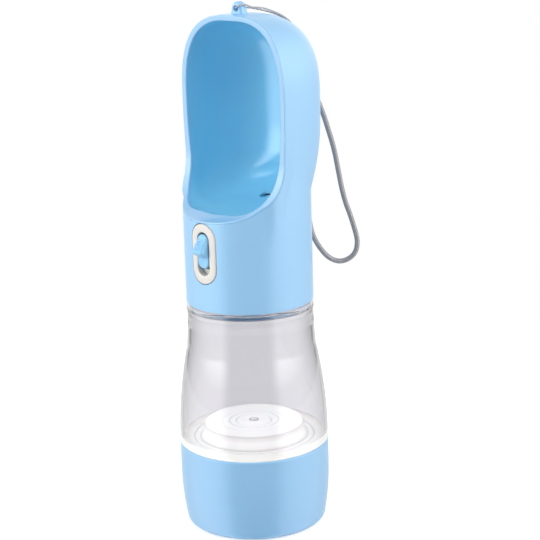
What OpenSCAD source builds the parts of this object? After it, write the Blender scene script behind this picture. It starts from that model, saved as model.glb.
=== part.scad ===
// Dog travel water bottle: food cup below, clear bottle, and a head with a drinking trough.
// Millimetres. Z is up, the base stands on z = 0, the trough and the button face -Y.

/* [Food cup] */
// Outer radius of the cup at its rim
cup_r = 40; // [38.5:0.5:43]
// Height of the cup
cup_h = 45; // [38:1:60]
// Wall of the cup
cup_wall = 2.2; // [1.6:0.1:2.6]
// Radius of the rounded foot edge
foot_round = 4; // [2:0.5:6]
// Radius of the arc that draws the cup in towards its foot
foot_arc_r = 152; // [120:1:260]
// Height up to which the cup is drawn in
foot_arc_h = 30; // [20:1:34]
// Depth of the recess under the foot
foot_recess = 0.8; // [0.4:0.1:1.4]

/* [Bottle] */
// Height of the clear bottle between cup and head
bottle_h = 77.2; // [70:0.1:110]
// Wall of the clear bottle
bottle_wall = 2; // [1.6:0.1:2.6]
// Radius of the arc of the belly, seen from the side
belly_arc_r = 255; // [240:1:420]
// Rounding of the shoulder under the head
shoulder_round = 1.6; // [0.8:0.1:2]
// Outer radius of the neck
neck_r = 27.5; // [24:0.1:28]
// Height of the neck above the shoulder
neck_h = 14.2; // [12:0.1:15]
// Radius of the raised plateau in the bottle's floor
plateau_r = 27; // [20:0.5:31]
// Height of the raised plateau above the floor
plateau_h = 9.2; // [4:0.1:14]
// Height of the screw skirt that enters the cup
skirt_h = 10; // [6:0.5:14]

/* [Head] */
// Outer radius of the head's cylinder, and of the bottle's upper part
head_r = 33.6; // [33:0.1:34.4]
// Height of the head
head_h = 149.6; // [135:0.1:165]
// Wall of the head's outer shell
shell_wall = 1.5; // [1.3:0.1:1.7]
// Half width of the trough part, at the outside
trough_half_w = 35.9; // [34.8:0.1:37]
// How far the back of the trough part stands behind the axis
trough_back = 38.6; // [38:0.1:40]
// Height at which the back is deepest
trough_back_h = 92; // [86:1:98]
// Height at which the arch of the top begins
arch_h = 106; // [98:1:112]
// Distance of the rim's flat face in front of the axis
rim_face = 8.8; // [8:0.1:12]
// Radius of the rim's forward sweep to the lip
rim_arc_r = 30.6; // [28:0.1:32]
// Height of the lip at the front wall
lip_h = 47.6; // [47.4:0.1:50]
// Wall of the trough liner
liner_wall = 1.2; // [1:0.1:1.4]
// Thickness of the rim flange that covers the shell's edge
flange_t = 0.9; // [0.8:0.1:1]

/* [Trough floor] */
// Height of the trough's floor on the axis
floor_h = 51.4; // [51:0.1:54]
// Slope of the floor, rise per length towards the back
floor_slope = 0.11; // [0.08:0.01:0.14]
// Rounding between floor and front wall
floor_round_front = 11; // [8:0.5:12]
// Rounding between floor and back wall
floor_round_back = 22; // [16:0.5:24]
// Distance of the outlet hole behind the axis
outlet_y = 14; // [14:0.5:16]
// Radius of the outlet hole
outlet_r = 3; // [2.6:0.1:3.2]

/* [Button] */
// Height of the bezel's centre above the head's edge
bezel_h = 30.5; // [30.4:0.1:30.6]
// Width of the bezel
bezel_w = 16.5; // [15.5:0.1:17.5]
// Length of the bezel, top to bottom
bezel_l = 31.7; // [30.6:0.1:31.8]
// Width of the slot in the bezel
slot_w = 8.3; // [8:0.1:9]
// Length of the slot in the bezel
slot_l = 22.8; // [22.7:0.1:23]
// How far the bezel stands proud of the shell
bezel_proud = 0.4; // [0.2:0.1:0.8]
// Length of the button
button_l = 18; // [17.6:0.1:18]
// How far the button slides down
lock_travel = 3.2; // [2.8:0.1:3.2]
// How far the button is pressed in
press_travel = 2.5; // [2:0.1:3]

/* [Lug and strap] */
// Width of the strap lug
lug_w = 7; // [6:0.1:9]
// Thickness of the strap lug
lug_t = 5.4; // [4:0.1:6]
// Radius of the lug's eye
eye_r = 1.4; // [1.2:0.1:1.8]
// Diameter of the thin string
string_d = 0.9; // [0.7:0.1:1]
// Diameter of the braided cord
cord_d = 2.8; // [2.4:0.1:3]

/* [Hidden] */

// Facets of the exact round forms, and points round each section of the moulded head
$fn = 96;
ring_n = 44;
far = 100;

// Clearances
seam = 0.3;          // between cup, bottle and head
fit = 0.1;           // between pieces of one body
slide_gap = 0.3;     // round a piece that slides
guide_gap = 0.08;    // round the valve stem in its guide
screw_gap = 1.7;     // between a neck or skirt and its collar, room for the threads

// Heights of the three main parts
bottle_z = cup_h + seam;
head_z = bottle_z + bottle_h + seam;

// ---------- food cup ----------
skirt_wall = 2;
cup_mouth_r = cup_r - cup_wall;
skirt_r = cup_mouth_r - screw_gap;
gasket_h = 1.35;
gasket_seat_h = 1.2;                       // depth of the rabbet in the cup's rim
gasket_seat_r = cup_r - 0.8;
foot_ring_w = 4;

// Outer radius of the cup at a height
function cup_radius(z) = z >= foot_arc_h ? cup_r : cup_r - foot_arc_r + sqrt(pow(foot_arc_r, 2) - pow(foot_arc_h - z, 2));

// Side of the cup from the foot's rounding to the rim, set in by a wall
function cup_side(inset, z0, round_r) = concat(
    [for (a = [0:15:75]) [cup_radius(z0 + round_r) - inset - round_r * (1 - sin(a)), z0 + round_r * (1 - cos(a))]],
    [for (i = [0:6]) let (z = z0 + round_r + (foot_arc_h - z0 - round_r) * i / 6) [cup_radius(z) - inset, z]]);

module food_cup() {
    color("#a9d6f6")
    rotate_extrude()
    difference() {
        polygon(concat([[0, 0]], cup_side(0, 0, foot_round), [[cup_r, cup_h - 0.6], [cup_r - 0.6, cup_h], [0, cup_h]]));
        polygon(concat([[0, cup_wall]], cup_side(cup_wall, cup_wall, foot_round), [[cup_mouth_r, cup_h + 1], [0, cup_h + 1]]));
        square([cup_radius(foot_round) - foot_round - foot_ring_w, foot_recess]);
        // Rabbet in which the gasket lies
        translate([0, cup_h - gasket_seat_h]) square([gasket_seat_r, gasket_seat_h + 1]);
    }
}

module cup_gasket() {
    color("#e8e8e6")
    translate([0, 0, cup_h - gasket_seat_h + fit / 2])
    difference() {
        cylinder(r = gasket_seat_r - fit, h = gasket_h);
        translate([0, 0, -1]) cylinder(r = cup_mouth_r - 0.4, h = gasket_h + 2);
    }
}

// ---------- bottle ----------
belly_h = sqrt(pow(belly_arc_r, 2) - pow(belly_arc_r - (cup_r - head_r), 2));
neck_z = bottle_z + bottle_h;

// Outer radius of the belly at a height above the bottle's foot
function belly_radius(h) = cup_r - belly_arc_r + sqrt(pow(belly_arc_r, 2) - pow(h, 2));

// Side of the bottle, set in by a wall
function bottle_side(inset) = concat(
    [for (i = [0:10]) [belly_radius(belly_h * i / 10) - inset, bottle_z + belly_h * i / 10]],
    [for (a = [0:15:90]) [head_r - inset - shoulder_round * (1 - cos(a)), neck_z - inset - shoulder_round * (1 - sin(a))]]);

module bottle_body() {
    color("#dfe6ec", 0.4)
    rotate_extrude()
    difference() {
        union() {
            polygon(concat([[0, bottle_z]], bottle_side(0), [[0, neck_z]]));
            square([neck_r, neck_z + neck_h]);
        }
        polygon(concat([[0, bottle_z - 1], [cup_r - bottle_wall, bottle_z - 1]], bottle_side(bottle_wall), [[0, neck_z - bottle_wall]]));
        square([neck_r - bottle_wall, neck_z + neck_h + 1]);
        square([far, bottle_z]);
    }
}

module bottle_floor() {
    floor_t = 2;
    draft = 1.5;
    nub_r = 2.6;
    color("#f4f6f8", 0.6)
    translate([0, 0, bottle_z])
    rotate_extrude()
    difference() {
        union() {
            square([cup_r - bottle_wall - fit, floor_t]);
            polygon([[0, 0], [plateau_r + draft, 0], [plateau_r, plateau_h + floor_t - 1], [plateau_r - 1, plateau_h + floor_t], [0, plateau_h + floor_t]]);
            translate([skirt_r - skirt_wall, -skirt_h]) square([skirt_wall, skirt_h]);
            translate([nub_r - 0.8, plateau_h]) square([0.8, floor_t + 0.5]);
        }
        polygon([[0, -1], [plateau_r + draft - floor_t, -1], [plateau_r - floor_t, plateau_h], [0, plateau_h]]);
    }
}

// ---------- head: neck seal and collar ----------
plate_t = 2;
seal_t = 1;
seal_lip = 0.6;
plate_h = neck_h - seam + fit + seal_t;    // underside of the collar's plate above the head's edge
collar_r = head_r - shell_wall - 0.2;
valve_port_r = 4.5;

module neck_seal() {
    color("#e8e8e6")
    translate([0, 0, head_z + plate_h - seal_t])
    difference() {
        cylinder(r = neck_r + seal_lip, h = seal_t);
        translate([0, 0, -1]) cylinder(r = neck_r - bottle_wall - seal_lip, h = seal_t + 2);
    }
}

module threaded_collar() {
    collar_foot = 0.6;
    color("#d7ebf8")
    translate([0, 0, head_z])
    difference() {
        translate([0, 0, collar_foot]) cylinder(r = collar_r, h = plate_h + plate_t - collar_foot);
        translate([0, 0, -1]) cylinder(r = neck_r + screw_gap, h = plate_h + 1);
        cylinder(r = valve_port_r, h = far);
        // Notch in the front edge for the lock slide's apron
        bar(apron_w + 2 * slide_gap, -far, slide_front_y + apron_t + slide_gap, plate_h, far);
    }
}

// ---------- head: the moulded outer form ----------
top_power = 2.7;       // how square the arch is, seen from the front
back_power = 2.4;      // how square the back is, seen from above
front_power = 4;
front_depth = 30;
side_arc_r = 280;      // radius of the sides below the arch, seen from the front
back_arc_r = 80;       // radius of the back below its deepest point, seen from the side
crease_blend = 0.8;    // softness of the crease where the trough part leaves the cylinder
crease_h = 52;

// The arch of the top: 1 up to arch_h, then down to 0 at the top
function arch(h, top) = h <= arch_h ? 1 : pow(1 - pow((h - arch_h) / (top - arch_h), top_power), 1 / top_power);

// Sagging arc: how far a side of radius r has drawn in at a distance d from its widest point
function draw_in(d, r) = d <= 0 ? 0 : r - sqrt(r * r - pow(min(d, 0.8 * r), 2));

// Greater of two radii, blended where they are nearly equal
function blend_max(a, b, w) = abs(a - b) >= w ? max(a, b) : max(a, b) + pow(w - abs(a - b), 2) / (4 * w);

// Radius of a rounded box section with half axes a, b and a power
function section_radius(angle, a, b, n) = pow(pow(abs(cos(angle)) / a, n) + pow(abs(sin(angle)) / b, n), -1 / n);

// Outer radius of the head at an angle and height, set in by a wall
function head_radius(angle, h, inset) =
    let (s = arch(h, head_h - inset),
         a = trough_half_w - inset - draw_in(arch_h - h, side_arc_r),
         b = trough_back - inset - draw_in(trough_back_h - h, back_arc_r),
         trough = sin(angle) >= 0 ? section_radius(angle, a, b, back_power) : section_radius(angle, a, front_depth, front_power))
    s * blend_max(trough, head_r - inset, crease_blend);

// Heights of the sections of the arch: even steps round its curve
function arch_heights(top) = [for (a = [0:9:81]) arch_h + (top - arch_h) * pow(sin(a), 2 / top_power)];
function crown_heights(top) = [for (a = [86, 88.5]) arch_h + (top - arch_h) * pow(sin(a), 2 / top_power)];
function upper_heights(top, from) = concat([for (i = [0:6]) from + (arch_h - from) * i / 7], arch_heights(top), crown_heights(top));

// One section: points round the axis
function head_ring(h, inset) =
    [for (i = [0:ring_n - 1]) let (t = 360 * i / ring_n, r = head_radius(t, h, inset)) [r * cos(t), r * sin(t), h]];

// Closed solid through a stack of rings with the same number of points, listed upwards
module loft(rings) {
    n = len(rings[0]);
    m = len(rings);
    polyhedron(
        points = [for (ring = rings) each ring],
        faces = concat(
            [[for (i = [0:n - 1]) i]],
            [for (k = [0:m - 2], i = [0:n - 1]) [k * n + i, (k + 1) * n + i, (k + 1) * n + (i + 1) % n]],
            [for (k = [0:m - 2], i = [0:n - 1]) [k * n + i, (k + 1) * n + (i + 1) % n, k * n + (i + 1) % n]],
            [[for (i = [n - 1:-1:0]) (m - 1) * n + i]]));
}

// The whole head as a solid, set in by a wall; its foot reaches down by the given depth
module head_form(inset, foot) {
    loft([for (h = concat([-foot, 30], upper_heights(head_h - inset, crease_h))) head_ring(h, inset)]);
}

// How far the trough's floor rounding draws a section in, at a height t above the floor
function floor_round(angle, wall) = wall + floor_round_front + (floor_round_back - floor_round_front) * (1 + sin(angle)) / 2;
function floor_shrink(angle, t, wall) = let (r = floor_round(angle, wall)) t >= r ? 0 : r - sqrt(r * r - pow(r - t, 2));
slope_fade_h = 26;

// The trough's hollow as a solid; wall > 0 gives the liner's outside
function trough_ring(t, inset, wall) =
    [for (i = [0:ring_n - 1])
        let (a = 360 * i / ring_n,
             h = floor_h - wall + t,
             r = head_radius(a, h, inset) - floor_shrink(a, t, wall),
             y = r * sin(a))
        [r * cos(a), y, h + floor_slope * y * max(0, 1 - t / slope_fade_h)]];
module trough_form(inset, wall) {
    top = head_h - inset;
    lower = [0, 0.4, 1.4, 3, 5.5, 9, 14, 20];
    base_h = floor_h - wall;
    loft([for (t = concat(lower, [for (h = upper_heights(top, base_h + slope_fade_h)) h - base_h])) trough_ring(t, inset, wall)]);
}

// Everything in front of the rim, grown by a thickness: a flat face above and the forward sweep below
module rim_cut(grow) {
    centre_y = -rim_face - rim_arc_r;
    centre_h = lip_h + sqrt(pow(rim_arc_r, 2) - pow(centre_y + head_r, 2));
    rotate([90, 0, 90])
    linear_extrude(height = 2 * far, center = true)
    union() {
        translate([-far, centre_h]) square([far - rim_face + grow, far]);
        translate([centre_y, centre_h]) circle(r = rim_arc_r + grow, $fn = 120);
    }
}

// Upright slot shape that runs along Y through the front wall
module front_slot(w, l, h) {
    translate([0, 0, h])
    rotate([90, 0, 0])
    linear_extrude(height = far)
    union() {
        square([w, l - w], center = true);
        for (s = [-1, 1]) translate([0, s * (l - w) / 2]) circle(d = w, $fn = 48);
    }
}

lug_y = -1.2;
lug_eye_h = head_h + 2.7;
lug_foot_h = head_h - 4;
lug_flare = 1.6;       // how much wider the lug is on each side at its foot

module lug() {
    difference() {
        translate([0, lug_y + lug_t / 2, 0])
        rotate([90, 0, 0])
        linear_extrude(height = lug_t)
        union() {
            translate([0, lug_eye_h]) circle(d = lug_w);
            polygon([
                [-lug_w / 2 - lug_flare, lug_foot_h], [lug_w / 2 + lug_flare, lug_foot_h],
                [lug_w / 2, lug_eye_h], [-lug_w / 2, lug_eye_h]]);
        }
        translate([0, far / 2, lug_eye_h]) rotate([90, 0, 0]) cylinder(r = eye_r, h = far);
    }
}

module head_shell() {
    color("#b4dbf9")
    translate([0, 0, head_z])
    union() {
        difference() {
            head_form(0, 0);
            head_form(shell_wall, 1);
            rim_cut(flange_t + fit / 2);
            front_slot(bezel_w + fit, bezel_l + fit, bezel_h);
        }
        difference() {
            lug();
            head_form(shell_wall, 1);
        }
    }
}

liner_inset = shell_wall + fit;
spigot_r = outlet_r + 0.7;
spigot_l = 5;
duct_wall = 0.9;
duct_r = spigot_r + fit / 2 + duct_wall;
duct_bend_r = duct_r + 0.25;

module trough_liner() {
    color("#7fbfee")
    translate([0, 0, head_z])
    difference() {
        union() {
            trough_form(liner_inset, liner_wall);
            intersection() {
                head_form(0, 0);
                difference() {
                    rim_cut(flange_t);
                    rim_cut(-1);
                    translate([-far, -far, 0]) cube([2 * far, 2 * far, lip_h - 3]);
                }
            }
            translate([0, outlet_y, floor_h - spigot_l]) cylinder(r = spigot_r, h = spigot_l + 1);
        }
        trough_form(liner_inset + liner_wall, 0);
        rim_cut(0);
        translate([0, outlet_y, floor_h - far / 2]) cylinder(r = outlet_r, h = far);
    }
}

// ---------- head: bezel, guide, lock slide and button ----------
bezel_back_r = head_r - shell_wall - fit;    // radius of the bezel's back flange, at its outside
bezel_back_t = 1.5;
bezel_back_margin = 1.7;
bezel_back_l = 2 * (bezel_h - plate_h - plate_t - 0.2);    // its foot stands just above the collar

// Part of a round wall between two radii, over the head's lower part
module round_wall(r_out, r_in) {
    difference() {
        cylinder(r = r_out, h = lip_h);
        translate([0, 0, -1]) cylinder(r = r_in, h = lip_h + 2);
    }
}

module bezel() {
    color("#e6e3df")
    translate([0, 0, head_z])
    difference() {
        union() {
            intersection() {
                round_wall(head_r + bezel_proud, bezel_back_r - fit / 2);
                front_slot(bezel_w, bezel_l, bezel_h);
            }
            intersection() {
                round_wall(bezel_back_r, bezel_back_r - bezel_back_t);
                front_slot(bezel_w + 2 * bezel_back_margin, bezel_back_l, bezel_h);
            }
        }
        front_slot(slot_w, slot_l, bezel_h);
    }
}

button_top_gap = 1;
button_h = bezel_h + (slot_l - button_l) / 2 - button_top_gap;    // button's centre at rest, near the slot's top
button_w = slot_w - 2 * slide_gap - 0.3;
button_flange_y = -bezel_back_r + bezel_back_t + 1;
button_flange_t = 0.9;
button_margin = 0.7;

slide_in_w = button_w + 2 * button_margin + 2 * slide_gap;
slide_in_l = button_l + 2 * button_margin + 2 * slide_gap;
slide_wall = 0.8;
slide_w = slide_in_w + 2 * slide_wall;
slide_l = slide_in_l + 2 * slide_wall;
slide_front_y = button_flange_y - slide_gap;
slide_depth = 8.6;
slide_back_y = slide_front_y + slide_depth;

guide_wall = 2.2;
guide_lip = 1.4;
guide_lip_t = 1;
guide_w = slide_w + 2 * slide_gap;
guide_bar = 0.6;
guide_top_h = button_h + slide_l / 2 + slide_gap;
guide_foot_h = plate_h + plate_t + fit / 2;

// Apron under the lock slide: it fills the slot's lower end, as wide as the slot with a margin
apron_t = 1;
apron_w = slot_w + 1.4;
apron_foot_h = plate_h + lock_travel + 0.2;

// A bar of a given width and height range, between two depths
module bar(w, y0, y1, h0, h1) {
    translate([-w / 2, y0, h0]) cube([w, y1 - y0, h1 - h0]);
}

module slide_guide() {
    back_y = slide_back_y + slide_gap + guide_lip_t;
    color("#eceae6")
    translate([0, 0, head_z])
    intersection() {
        cylinder(r = bezel_back_r - bezel_back_t - fit / 2, h = lip_h);
        difference() {
            bar(guide_w + 2 * guide_wall, -head_r, back_y, guide_foot_h, guide_top_h + guide_bar);
            bar(guide_w, -head_r, back_y - guide_lip_t, guide_foot_h + guide_bar, guide_top_h);
            bar(guide_w - 2 * guide_lip, -head_r, back_y + 1, guide_foot_h + guide_bar, guide_top_h);
            bar(apron_w + 2 * slide_gap, -far, slide_front_y + apron_t + slide_gap, 0, guide_foot_h + guide_bar + 1);
        }
    }
}

rod_w = 4;
rod_l = 4;
rod_top_h = button_h + button_l / 2 - 0.4;
rod_h = rod_top_h - rod_l;
spring_h = button_h - 3.2;
spring_r = 2.4;
spring_wire = 0.6;
spring_post_r = 1.4;

module lock_slide() {
    color("#eceae6")
    translate([0, 0, head_z])
    union() {
        difference() {
            bar(slide_w, slide_front_y, slide_back_y, button_h - slide_l / 2, button_h + slide_l / 2);
            bar(slide_in_w, slide_front_y - 1, slide_back_y - slide_wall, button_h - slide_in_l / 2, button_h + slide_in_l / 2);
            bar(rod_w + 2 * slide_gap, slide_front_y, slide_back_y + 1, rod_h - slide_gap, rod_top_h + slide_gap);
        }
        // Apron that closes the slot below the button
        bar(apron_w, slide_front_y, slide_front_y + apron_t, apron_foot_h, button_h - slide_in_l / 2);
    }
}

wedge_out = 4.2;
wedge_top = 6.7;       // heights above the button's centre
wedge_foot = -3.8;
nose_h = 0.3;
nose_r = 0.9;
dimple_h = -5.2;
rib_r = 0.35;
rib_count = 4;

module push_button() {
    face_y = -head_r - 0.1;
    color("#9dd3f6")
    translate([0, 0, head_z])
    union() {
        difference() {
            intersection() {
                union() {
                    intersection() {
                        cylinder(r = -face_y, h = lip_h);
                        bar(button_w, -far, button_flange_y + 0.1, 0, lip_h);
                    }
                    // Thumb wedge: a long upper slope, a rounded nose and a short underside
                    translate([-button_w / 2, 0, button_h])
                    rotate([90, 0, 90])
                    linear_extrude(height = button_w)
                    polygon(concat(
                        [[face_y + 1.5, wedge_top]],
                        [for (a = [125:20:225]) [face_y - wedge_out + nose_r + nose_r * cos(a), nose_h + nose_r * sin(a)]],
                        [[face_y + 1.5, wedge_foot]]));
                    // Grip ribs across the upper slope
                    for (i = [0:rib_count - 1])
                        translate([-button_w / 2, face_y - 0.75 - 0.78 * i, button_h + nose_h + 4.5 - 1.06 * i])
                        rotate([0, 90, 0])
                        cylinder(r = rib_r, h = button_w, $fn = 24);
                }
                front_slot(button_w, button_l, button_h);
            }
            // Dimple under the wedge
            translate([0, face_y - 0.9, button_h + dimple_h]) sphere(r = 1.7, $fn = 32);
        }
        // Retaining flange behind the bezel
        bar(button_w + 2 * button_margin, button_flange_y, button_flange_y + button_flange_t,
            button_h - button_l / 2 - button_margin, button_h + button_l / 2 + button_margin);
        // Post that centres the spring
        translate([0, button_flange_y + button_flange_t - 0.1, spring_h]) rotate([-90, 0, 0]) cylinder(r = spring_post_r, h = 2.1);
    }
}

// Points along a coil with closed ends, starting at the origin and rising along Z
function coil_path(r, length, wire, turns, steps) =
    [for (i = [0:turns * steps]) let (t = 360 * i / steps) [r * cos(t), r * sin(t), wire / 2 + (length - wire) * i / (turns * steps)]];

function unit(v) = v / norm(v);
function tangents(p) = [for (i = [0:len(p) - 1]) unit(p[min(i + 1, len(p) - 1)] - p[max(i - 1, 0)])];
// Sideways direction at each point of a path, carried along without twist
function carried(t, i, u) = i == len(t) ? [] : let (w = unit(u - (u * t[i]) * t[i])) concat([w], carried(t, i + 1, w));

// Round tube along a path
module tube(path, r, sides, start_side) {
    t = tangents(path);
    w = carried(t, 0, start_side);
    loft([for (i = [0:len(path) - 1])
        [for (k = [0:sides - 1]) let (a = 360 * k / sides) path[i] + r * (cos(a) * w[i] + sin(a) * cross(t[i], w[i]))]]);
}

button_spring_y0 = button_flange_y + button_flange_t + 0.05;
button_spring_y1 = slide_back_y - slide_wall - 0.05;

module button_spring() {
    color("#b9bcc0")
    translate([0, button_spring_y0, head_z + spring_h])
    rotate([-90, 0, 0])
    tube(coil_path(spring_r - spring_wire / 2, button_spring_y1 - button_spring_y0, spring_wire, 5, 8), spring_wire / 2, 6, [1, 0, 0]);
}

// ---------- head: plunger and valve ----------
cap_r = 3;
wedge_gap = 0.3;
cap_top_h = rod_h - lock_travel + cap_r - wedge_gap * sqrt(2);    // stem's top when closed
stem_r = 1.5;
cap_t = 4;
housing_r = 7;
housing_bore_r = 5.4;
housing_top_h = cap_top_h - 9.5;
housing_top_t = 1.5;
nozzle_h = plate_h + plate_t + duct_r + 0.5;

// Rod with a 45 degree wedge at its tip, above the stem's bevelled cap
module plunger() {
    rod_y = button_flange_y + button_flange_t + 0.02;
    color("#f0efec")
    translate([-rod_w / 2, 0, head_z])
    rotate([90, 0, 90])
    linear_extrude(height = rod_w)
    polygon([[rod_y, rod_h], [-cap_r, rod_h], [rod_l - cap_r, rod_top_h], [rod_y, rod_top_h]]);
}

module valve_stem() {
    color("#f0efec")
    translate([0, 0, head_z])
    difference() {
        union() {
            translate([0, 0, plate_h - 5.2]) cylinder(r = stem_r, h = cap_top_h - plate_h + 5.2 - 1);
            translate([0, 0, cap_top_h - cap_t]) cylinder(r = cap_r, h = cap_t);
        }
        translate([-far / 2, 0, cap_top_h]) rotate([45, 0, 0]) translate([0, -far, 0]) cube([far, far, far]);
    }
}

disc_t = 1.8;
disc_r = 6.5;

module valve_seal() {
    color("#c9c9c7")
    translate([0, 0, head_z + plate_h - disc_t - 0.1])
    difference() {
        cylinder(r = disc_r, h = disc_t);
        translate([0, 0, -1]) cylinder(r = stem_r + 0.02, h = disc_t + 2);
    }
}

clip_t = 1;

module stem_clip() {
    color("#f0efec")
    translate([0, 0, head_z + plate_h - disc_t - 0.12 - clip_t])
    difference() {
        cylinder(r = stem_r + 2, h = clip_t);
        translate([0, 0, -1]) cylinder(r = stem_r + 0.02, h = clip_t + 2);
    }
}

module valve_housing() {
    foot_h = plate_h + plate_t;
    color("#eceae6")
    translate([0, 0, head_z])
    difference() {
        union() {
            translate([0, 0, foot_h]) cylinder(r = housing_r, h = housing_top_h - foot_h);
            translate([0, 0, nozzle_h]) rotate([-90, 0, 0]) cylinder(r = spigot_r, h = outlet_y - duct_bend_r);
        }
        translate([0, 0, foot_h - 1]) cylinder(r = housing_bore_r, h = housing_top_h - housing_top_t - foot_h + 1);
        translate([0, 0, nozzle_h]) rotate([-90, 0, 0]) cylinder(r = spigot_r - 1, h = far);
        cylinder(r = stem_r + guide_gap, h = far);
    }
}

module valve_spring() {
    wire = 0.6;
    z0 = housing_top_h + 0.05;
    z1 = cap_top_h - cap_t - 0.05;
    color("#b9bcc0")
    translate([0, 0, head_z + z0])
    tube(coil_path(cap_r - wire / 2 - 0.3, z1 - z0, wire, 3, 8), wire / 2, 6, [1, 0, 0]);
}

// One surface of the elbow: level from the nozzle, a quarter bend, then up to the trough's spigot
module duct_run(r, over) {
    start_y = housing_r + 0.2;
    bend_y = outlet_y - duct_bend_r;
    top_h = floor_h - liner_wall + floor_slope * (outlet_y - duct_r) - 0.35;
    union() {
        translate([0, start_y - over, nozzle_h]) rotate([-90, 0, 0]) cylinder(r = r, h = bend_y - start_y + over);
        translate([0, bend_y, nozzle_h + duct_bend_r])
        rotate([90, 0, 90])
        rotate([0, 0, -90])
        rotate_extrude(angle = 90)
        translate([duct_bend_r, 0]) circle(r = r);
        translate([0, outlet_y, nozzle_h + duct_bend_r]) cylinder(r = r, h = top_h - nozzle_h - duct_bend_r + over);
    }
}

module outlet_duct() {
    color("#dfe7ec")
    translate([0, 0, head_z])
    difference() {
        duct_run(duct_r, 0);
        duct_run(spigot_r + fit / 2, 1);
    }
}

// ---------- strap ----------
// Routes in the head's own frame. The string runs from the crimp over the head's top, through the
// lug's eye from behind, round the lug's left side, and back down to the crimp.
string_route = [
    [11.2, 39.9, 121], [11.2, 39.9, 123.2], [10.3, 37.1, 127.5], [9.4, 34.8, 132.5], [8.3, 31.6, 138],
    [7.5, 28, 142.6], [6.7, 22.9, 146.2], [5.8, 17.2, 148.6], [4.4, 11, 150.5], [2.4, 6.1, 151.8],
    [0.5, 3, 152.3], [0.1, 0.5, 152.3], [0, -2.5, 152.3], [-0.2, -4.6, 152.3], [-1.6, -5.3, 152.4],
    [-3.4, -5.2, 152.5], [-4.7, -3.6, 152.7], [-4.9, -1.2, 152.9], [-4.5, 1.2, 153.1], [-3.1, 2.8, 153.4],
    [-0.9, 3.4, 153.7], [1.3, 3.4, 153.7], [3.3, 3.1, 153.3], [4.8, 3, 152.7], [5.8, 4.1, 152.1],
    [6.1, 6.7, 151.6], [6.5, 11, 150.6], [7.2, 17, 148.7], [8, 22.7, 146.3], [8.9, 27.7, 142.8],
    [9.8, 31.4, 138.2], [10.8, 34.5, 132.7], [11.7, 36.8, 127.7], [12.6, 39.6, 123.2], [12.6, 39.6, 121]];

// The braided loop leaves the crimp, swings out behind the head and comes back to it
loop_route = [
    [13.4, 39.4, 112], [13.4, 39.4, 108.5], [14.3, 40.2, 103.5], [15.5, 41.6, 98.5], [16.8, 43.3, 92.5],
    [18.2, 45, 85], [19.3, 46.5, 78.5], [20.2, 47.7, 72], [20.9, 48.6, 65.5], [21.6, 49.5, 59],
    [22.5, 50.3, 52.5], [23.8, 51.5, 45.5], [25.5, 52.9, 39], [26.9, 54.4, 32], [27.9, 55.5, 25.5],
    [27.7, 55.3, 20.5], [26.4, 54.1, 16.8], [24, 51.8, 14.3], [21.2, 49, 13.4], [18.7, 45.9, 14.6],
    [16.8, 43, 17.2], [14.9, 40.6, 21], [13, 38.9, 25.3], [11.6, 37.6, 30], [10.6, 36.9, 36],
    [10, 36.6, 43], [9.6, 36.7, 51], [9.4, 37.4, 59], [9.3, 38.5, 67], [9.2, 39.5, 75],
    [9.3, 40.3, 83], [9.5, 40.8, 91], [9.9, 40.9, 99], [10.4, 40.1, 107], [10.4, 40.1, 112]];

cord_sides = 8;
crimp_at = [11.9, 39.7];
crimp_turn = -15;
crimp_foot = 112;
crimp_top = 121;
crimp_w = 7;
crimp_t = 3.6;

module strap_string() {
    color("#8d8d92")
    translate([0, 0, head_z])
    tube(string_route, string_d / 2, cord_sides, [1, 0, 0]);
}

module strap_ferrule() {
    color("#85858b")
    translate([crimp_at[0], crimp_at[1], head_z + crimp_foot])
    rotate([0, 0, crimp_turn])
    linear_extrude(height = crimp_top - crimp_foot)
    union() {
        square([crimp_w - crimp_t, crimp_t], center = true);
        for (s = [-1, 1]) translate([s * (crimp_w - crimp_t) / 2, 0]) circle(d = crimp_t);
    }
}

module strap_loop() {
    color("#85858b")
    translate([0, 0, head_z])
    tube(loop_route, cord_d / 2, cord_sides, [1, 0, 0]);
}

food_cup();
cup_gasket();
bottle_body();
bottle_floor();
neck_seal();
threaded_collar();
head_shell();
trough_liner();
bezel();
slide_guide();
lock_slide();
push_button();
button_spring();
plunger();
valve_housing();
valve_stem();
valve_seal();
stem_clip();
valve_spring();
outlet_duct();
strap_string();
strap_ferrule();
strap_loop();
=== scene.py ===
# %% [markdown]
# # A dog travel water bottle
# The bottle has three screwed parts: a food cup below, a clear water bottle, and a head with a
# moulded drinking trough, a lock slide with a button, and a wrist strap. The solids come from the
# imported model. This file dresses them: each visible piece is a smooth surface worked out with
# numpy in the same place, and every piece gets the finish of its real material.

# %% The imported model
import math

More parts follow.
